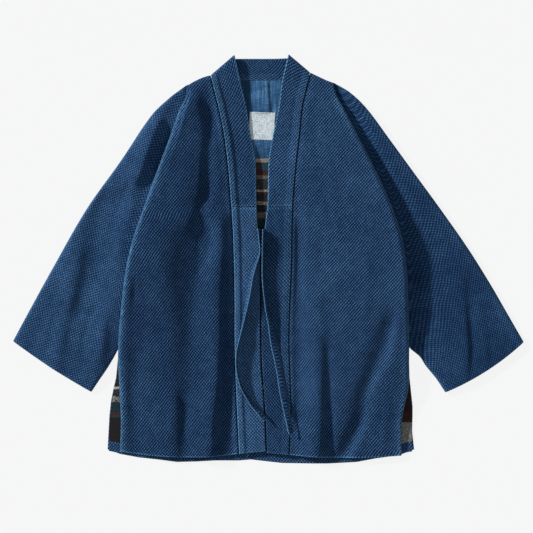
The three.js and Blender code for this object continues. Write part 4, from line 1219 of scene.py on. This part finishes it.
def sashiko(name, rising, falling, light=0.0, contrast=1.0, worn=1.0, relief=1.8):
    """Thick indigo cloth. rising and falling: how strong the ridges / and \\ are.

    Height of the weave = rising·(a raised to 1.4) + falling·(b raised to 1.4), each less its mean, where
    a = half + half·sin(turn·(u/w − v/l)) and b = half + half·sin(turn·(u/w + v/l)), with both phases moved
    a little by noise. The low sun picks the ridges out, and the indigo is paler on them by the contrast.
    """
    f = Finish(name, 0.92, 0.03, (0.35, 0.6, 1.0, 1))
    u, v = f.cloth_place()
    place = f.join(u, v)
    across, along = u * (1 / LOZENGE[0]), v * (1 / LOZENGE[1])
    rising_drift = f.noise(place, 46, 1.0) * 0.8 + f.noise(place, 7.5, 1.0) * 0.42
    falling_drift = f.noise(f.join(u + 310.0, v), 40, 1.0) * 0.8
    falling_drift += f.noise(f.join(u, v + 170.0), 7.5, 1.0) * 0.42
    up = (((across - along + rising_drift) * TURN).sine() * 0.5 + 0.5) ** 1.4 * rising - rising * 0.44
    down = (((across + along + falling_drift) * TURN).sine() * 0.5 + 0.5) ** 1.4 * falling - falling * 0.44
    threads = f.noise(f.join(u * 2.6, v * 0.55), 1.5, 2.0, 0.65)
    slubs = f.noise(f.join(u * 0.7, v * 2.2), 2.4, 2.0, 0.6)
    grain = (threads - 0.5) * 0.9 + (slubs - 0.5) * 0.75
    weave = (up + down + 0.5 + grain).within()
    patches = f.noise(place, 95, 3.0, 0.55) - 0.5
    spots = f.noise(place, 15, 2.0, 0.6) - 0.5
    rubbed = f.mark("wear") * worn * (f.noise(place, 9, 3.0, 0.7) * 1.5)
    level = (weave - 0.5) * contrast + 0.5 + patches * 0.34 + spots * 0.26 + light + rubbed * 0.3
    colour = f.ramp(level.within(), INDIGO_STOPS)
    fibres = f.noise(f.join(u, v, 5.0), 0.9, 2.0, 0.7)
    rub = f.step(rubbed * (weave * 0.8 + 0.45) + (fibres - 0.5) * 0.25, 0.3, 0.95)
    colour = f.blend(rub * 0.8, colour, INDIGO_WORN)
    # This mark paints shade: it darkens the cloth towards dark indigo in the grooves of the seams and at the
    # armholes.
    colour = f.blend(f.mark("deep") * 0.75, colour, tuple(0.75 * c for c in INDIGO_DARK))
    height = (up + down) * relief + grain * relief * 0.34
    return f.end(colour, height)


def chambray(name):
    """The yoke lining: fine plain cloth of blue and pale threads, streaked along its long threads."""
    f = Finish(name, 0.85, 0.15, (0.7, 0.85, 1.0, 1))
    u, v = f.cloth_place()
    streak = f.noise(f.join(u, v * 0.045), 1.7, 3.0, 0.7) - 0.5
    wide_streak = f.noise(f.join(u, v * 0.05), 5.4, 1.0) - 0.5
    cross = f.noise(f.join(u * 0.06, v), 1.3, 2.0, 0.7) - 0.5
    patches = f.noise(f.join(u, v), 34, 3.0) - 0.5
    level = streak * 1.5 + wide_streak * 1.1 + cross * 1.1 + patches * 0.9 + 0.5
    stops = ((0.0, (0.009, 0.04, 0.104)), (0.4, (0.025, 0.088, 0.195)), (0.6, (0.042, 0.122, 0.25)),
             (1.0, (0.14, 0.28, 0.45)))
    colour = f.ramp(level.within(), stops)
    colour = f.blend(f.mark("wear") * 0.5, colour, (0.2, 0.34, 0.48))
    x, y, _ = f.object_place()
    colour = f.blend(f.step(y, 236.0, 212.0) * 0.45, colour, (0.012, 0.045, 0.105))
    # Painted shadow: left of x -20 the lining is darkened as the shadow that the left band casts on it.
    colour = f.blend(f.step(x, -20.0, -25.0) * 0.8, colour, (0.008, 0.03, 0.07))
    threads = (u * (TURN / 0.8)).sine() * (v * (TURN / 0.8)).sine()
    return f.end(colour, threads * 0.06 + streak * 0.12 + cross * 0.08)


# The striped lining, down from its upper edge: y of each stripe's upper edge, its colour, its second colour,
# and how much of that is picked into it.
CREAM, GREY, PINK = (0.22, 0.21, 0.175), (0.035, 0.035, 0.036), (0.1, 0.086, 0.085)
RED, TEAL, NAVY = (0.055, 0.011, 0.01), (0.006, 0.027, 0.034), (0.0045, 0.006, 0.011)
BROWN, MAROON, WHITE = (0.012, 0.008, 0.006), (0.026, 0.01, 0.01), (0.38, 0.37, 0.34)
# From y 38 down, where the lining shows only through the narrow gap between the bands, the stripes are dark
# ones: painted shade for that gap.
STRIPES = (
    (197, CREAM, GREY, 0.15), (189.5, NAVY, BROWN, 0.5), (187, TEAL, RED, 0.5), (172, RED, BROWN, 0.5),
    (164, PINK, GREY, 0.3), (157, NAVY, GREY, 0.45), (136, CREAM, GREY, 0.4), (130, BROWN, RED, 0.4),
    (125, NAVY, TEAL, 0.3), (117, BROWN, RED, 0.4), (112, CREAM, GREY, 0.5), (106, NAVY, BROWN, 0.3),
    (90, PINK, GREY, 0.5), (80, TEAL, NAVY, 0.5), (62, NAVY, BROWN, 0.5), (50, RED, NAVY, 0.5),
    (38, NAVY, BROWN, 0.5), (-40, MAROON, BROWN, 0.5), (-70, NAVY, BROWN, 0.5), (-140, TEAL, NAVY, 0.5),
    (-170, NAVY, RED, 0.5),
)
# At the sides of the hem the two halves of the blanket lining differ.
STRIPES_LEFT = (
    *STRIPES, (-205, BROWN, MAROON, 0.5), (-251, WHITE, PINK, 0.2), (-256, NAVY, GREY, 0.5),
    (-271, GREY, WHITE, 0.4), (-281, TEAL, NAVY, 0.3), (-302, RED, MAROON, 0.3), (-307, TEAL, GREY, 0.4),
    (-312, BROWN, NAVY, 0.5),
)
STRIPES_RIGHT = (
    *STRIPES, (-205, MAROON, BROWN, 0.5), (-300, MAROON, RED, 0.4),
    (-321, (0.25, 0.24, 0.22), (0.1, 0.096, 0.092), 0.5), (-365, BROWN, NAVY, 0.5),
)


def striped_blanket(name):
    """Blanket cloth with bands of many colours across it, each picked through with a second colour."""
    f = Finish(name, 0.92, 0.3, (0.9, 0.85, 0.8, 1))
    x, y, _ = f.object_place()
    top, bottom = 200, -400
    wave = (f.noise(f.join(x, y), 40, 1.0) - 0.5) * 4 + (f.noise(f.join(x, y), 4, 2.0) - 0.5) * 1.6
    share = ((y + wave) * -1 + top) * (1 / (top - bottom))
    picked = f.noise(f.join(x * 0.45, y * 1.3), 2.2, 2.0, 0.7)

    def laid(rows):
        first = f.ramp(share, tuple(((top - r[0]) / (top - bottom), r[1]) for r in rows), "CONSTANT")
        second = f.ramp(share, tuple(((top - r[0]) / (top - bottom), r[2]) for r in rows), "CONSTANT")
        amount = f.ramp(share, tuple(((top - r[0]) / (top - bottom), (r[3],) * 3) for r in rows), "CONSTANT")
        return f.blend(f.step(picked + amount * 0.4 - 0.7, -0.03, 0.03), first, second)

    colour = f.blend(f.step(x, 118.0, 122.0), laid(STRIPES_LEFT), laid(STRIPES_RIGHT))
    checks = f.step(y, 172.0, 172.5) * f.step(y, 187.5, 187.0) * f.step(x + wave, -2.0, -1.0)
    colour = f.blend(checks, colour, (0.009, 0.036, 0.048))
    fibres = f.noise(f.join(x, y * 2.5), 1.1, 3.0, 0.7)
    colour = f.blend((fibres - 0.45).within() * 0.35, colour, (0.3, 0.28, 0.26))
    nap = f.noise(f.join(x, y), 2.8, 3.0, 0.7)
    return f.end(colour, nap * 0.7 + fibres * 0.3)


def label_tape(name):
    """The bare label: pale smooth tape, with a fine rib across it."""
    f = Finish(name, 0.7, 0.1, (1.0, 1.0, 1.0, 1))
    u, v = f.cloth_place()
    threads = f.noise(f.join(u * 0.25, v), 1.6, 2.0, 0.6) + f.noise(f.join(u, v * 0.25), 1.8, 2.0, 0.6)
    patches = f.noise(f.join(u, v), 12, 3.0) * 0.35 + threads * 0.5
    stops = ((0.55, (0.33, 0.43, 0.48)), (0.68, (0.56, 0.64, 0.68)), (0.82, (0.72, 0.76, 0.78)))
    colour = f.ramp(patches, stops)
    colour = f.blend(f.mark("wear") * 0.8, colour, (0.78, 0.82, 0.82))
    rib = (v * (TURN / 0.9)).sine() * 0.05 + threads * 0.15
    return f.end(colour, rib)


def thread(name, colour):
    """Twisted sewing thread."""
    f = Finish(name, 0.7, 0.1, (0.8, 0.9, 1.0, 1))
    x, y, z = f.object_place()
    mottled = f.noise(f.join(x, y, z), 1.3, 2.0)
    shade = f.ramp(mottled, ((0.3, tuple(0.75 * c for c in colour)), (0.7, colour)))
    return f.end(shade, mottled * 0.2)


# The pieces, each with its finish

def dress(piece, material, slot, *nodes):
    """Gives a piece its finish and its body, and hides the nodes of the solids that it stands for. slot is
    not used.
    """
    piece.data.materials.append(material)
    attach(piece, "root")
    if nodes:
        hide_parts(*nodes)
    return piece


COTTON = "sashiko_cotton"
# The third number, the level offset, is lower for the left front than for the right: painted shade, as the
# left front's broad slopes face away from the low sun.
fronts_cloth = {"left": sashiko("sashiko_left_front", 0.66, 0.36, -0.1, 0.78),
                "right": sashiko("sashiko_right_front", 0.66, 0.36, -0.05, 0.8)}
sleeves_cloth = {"left": sashiko("sashiko_left_sleeve", 0.5, 0.4, 0.05, 0.6),
                 "right": sashiko("sashiko_right_sleeve", 0.42, 0.38, -0.04, 0.6)}
bands_cloth = {"left": sashiko("sashiko_left_band", 0.58, 0.34, 0.16, 0.78),
               "right": sashiko("sashiko_right_band", 0.58, 0.34, -0.08, 0.85, 0.85)}
collar_cloth = sashiko("sashiko_collar", 0.55, 0.36, -0.01, 0.88)
ties_cloth = sashiko("sashiko_ties", 0.3, 0.25, 0.03, 0.9, 1.0, 1.2)
back_cloth = sashiko("sashiko_back", 0.5, 0.42, 0.0, 0.95)
pale_thread = thread("pale_thread", (0.12, 0.22, 0.35))
blue_thread = thread("blue_thread", (0.1, 0.19, 0.33))

made = {}
made["collar"], collar_rim = collar()
dress(made["collar"], collar_cloth, COTTON, "collar")
for side in OUTWARDS:
    made[f"front_{side}"] = dress(front(side), fronts_cloth[side], COTTON, f"front_{side}")
    layers = (f"sleeve_{side}", f"sleeve_{side}_under")
    made[f"sleeve_{side}"] = dress(sleeve(side), sleeves_cloth[side], COTTON, *layers)
    made[f"band_{side}"] = dress(band(side), bands_cloth[side], COTTON, f"band_{side}")
    made[f"tie_{side}"] = dress(tie(side), ties_cloth, COTTON, f"tie_{side}")
made["back"] = dress(back(collar_rim), back_cloth, COTTON, "back")
made["hem_facing"] = dress(hem_facing(), back_cloth, COTTON, "hem_facing")
made["striped_lining"] = dress(striped_lining(), striped_blanket("striped_blanket"), "striped_blanket_lining",
                               "striped_lining")
made["yoke_lining"] = dress(yoke_lining(collar_rim), chambray("chambray"), "chambray_lining", "yoke_lining")
made["label"] = dress(label(), label_tape("label_tape"), "label_tape", "label")

# Stitches

def stitch_row(points, heights, length, gap, thickness=THREAD):
    """Short threads end to end along a line, each a bowed rod of six sides that dips into the cloth."""
    p = np.array(points, float)
    travelled = distances(p)
    count = int(travelled[-1] // (length + gap))
    rods, quads = [], []
    rings, sides = 5, 6
    cap = np.array([[0, 1, 2, 3], [0, 3, 4, 5]])
    rod = np.concatenate([tube_faces(rings, sides)[0], cap[:, ::-1], (rings - 1) * sides + cap])
    for n in range(count):
        at = n * (length + gap) + np.linspace(0, length, rings)
        x, y = [np.interp(at, travelled, p[:, k]) for k in (0, 1)]
        bow = np.sin(np.linspace(0, np.pi, rings))
        z = heights(x, y) + thickness * (0.6 * bow - 0.25)
        onwards = np.array([x[-1] - x[0], y[-1] - y[0]])
        sideways = np.array([-onwards[1], onwards[0]]) / np.hypot(*onwards)
        radius = thickness / 2 * (0.45 + 0.55 * bow)
        angle = np.linspace(0, 2 * np.pi, sides, endpoint=False)
        ring_x = x[:, None] + sideways[0] * radius[:, None] * np.cos(angle)
        ring_y = y[:, None] + sideways[1] * radius[:, None] * np.cos(angle)
        ring_z = z[:, None] + radius[:, None] * np.sin(angle)
        rods.append(np.stack([ring_x, ring_y, ring_z], -1).reshape(-1, 3))
        quads.append(rod + n * rings * sides)
    return np.concatenate(rods), np.concatenate(quads)


STITCH_REACH = 2.6  # a stitch rests on the highest point of the cloth this near


def face_height(face):
    """Height of a made piece's upper face, as a function of x and y: the highest of its points nearby."""
    place = np.empty(len(face.data.vertices) * 3, np.float32)
    face.data.vertices.foreach_get("co", place)
    place = place.reshape(-1, 3) / MM
    upper = place[: len(place) // 2]

    def height(x, y):
        off_x, off_y = upper[None, :, 0] - x[:, None], upper[None, :, 1] - y[:, None]
        near = off_x**2 + off_y**2 < STITCH_REACH**2
        return np.where(near, upper[None, :, 2], -1e3).max(1)

    return height


def line_on_band(side, share, low, high, step=6):
    """Points up a band at a share of its width, from one level to another."""
    levels = np.arange(low, high, step)
    return band_point(side, levels, np.full(levels.shape, share))[:, :2]


STITCHES = (0.125, 2.6, 2.2)  # share of a band's width where its seam stitches run, their length and gap

seam_stitches = []
for side in OUTWARDS:
    on_band, on_collar = face_height(made[f"band_{side}"]), face_height(made["collar"])
    for low, high, cloth in ((FIRST[side] + 4, 96, on_band), (106, 330, on_collar)):
        seam_stitches.append(stitch_row(line_on_band(side, STITCHES[0], low, high), cloth, *STITCHES[1:]))
    across = [band_point(side, BAND_JOIN_Y + 3.2, s)[:2] for s in np.linspace(0.08, 0.93, 12)]
    seam_stitches.append(stitch_row(across, on_collar, 2.4, 1.9, 0.8))
neck = [(x, NECK_SEAM_Y + 6.5) for x in np.linspace(-46, 46, 20)]
seam_stitches.append(stitch_row(neck, face_height(made["collar"]), *STITCHES[1:]))
stitches = dress(joined("seam_stitches", seam_stitches), pale_thread, COTTON)

corners = label_corners(1.6)
on_label = face_height(made["label"])
edges = zip(corners, corners[1:] + corners[:1])
label_rows = [stitch_row(edge, on_label, 1.9, 1.1, 0.35) for edge in edges]
label_stitches = dress(joined("label_stitches", label_rows), blue_thread, "label_tape")

# The floor, the light and the camera

FLOOR_Z = -0.2
FLOOR_SIZE = 9000


def floor():
    """A wide pale sheet just under the jacket, almost as bright as paper."""
    r = FLOOR_SIZE / 2
    points = np.array([(-r, -r, FLOOR_Z), (r, -r, FLOOR_Z), (r, r, FLOOR_Z), (-r, r, FLOOR_Z)])
    piece = put_in_mesh("floor", points, np.array([[0, 1, 2, 3]]), points[None, :, :2] * MM, {})
    material = bpy.data.materials.new("pale_floor")
    material.use_nodes = True
    surface = material.node_tree.nodes["Principled BSDF"]
    for key, value in {"Base Color": (0.05, 0.05, 0.051, 1), "Roughness": 1.0, "Specular IOR Level": 0.0,
                       "Emission Color": (0.87, 0.872, 0.876, 1), "Emission Strength": 1.0}.items():
        surface.inputs[key].default_value = value
    piece.data.materials.append(material)


def light(name, kind, place, energy, **settings):
    """A light at a place, turned to the middle of the jacket."""
    data = bpy.data.lights.new(name, kind)
    data.energy = energy
    for key, value in settings.items():
        setattr(data, key, value)
    lamp = bpy.data.objects.new(name, data)
    lamp.location = place
    lamp.rotation_euler = (Vector((0, 0, 0)) - Vector(place)).to_track_quat("-Z", "Y").to_euler()
    bpy.context.scene.collection.objects.link(lamp)


floor()
SUN_FROM, SUN_RISE = math.radians(150), math.radians(23.5)  # its direction in plan, and its height
light("key", "SUN", (3 * math.cos(SUN_FROM), 3 * math.sin(SUN_FROM), 3 * math.tan(SUN_RISE)), 4.9,
      angle=math.radians(5), color=(1.0, 0.99, 0.975))
light("fill", "SUN", (0.6, -0.4, 3), 0.5, angle=math.radians(60), color=(0.96, 0.98, 1.0))
world = bpy.data.worlds.new("studio")
bpy.context.scene.world = world
world.use_nodes = True
sky = world.node_tree.nodes["Background"]
sky.inputs[0].default_value = (0.93, 0.965, 1.0, 1)
sky.inputs[1].default_value = 0.23
bpy.context.scene.view_settings.view_transform = "Standard"

lens = bpy.data.cameras.new("camera")
lens.lens, lens.sensor_width = 135, 36
camera = bpy.data.objects.new("camera", lens)
camera.location = (0.0088, -0.0167, 3.93)
bpy.context.scene.collection.objects.link(camera)
bpy.context.scene.camera = camera
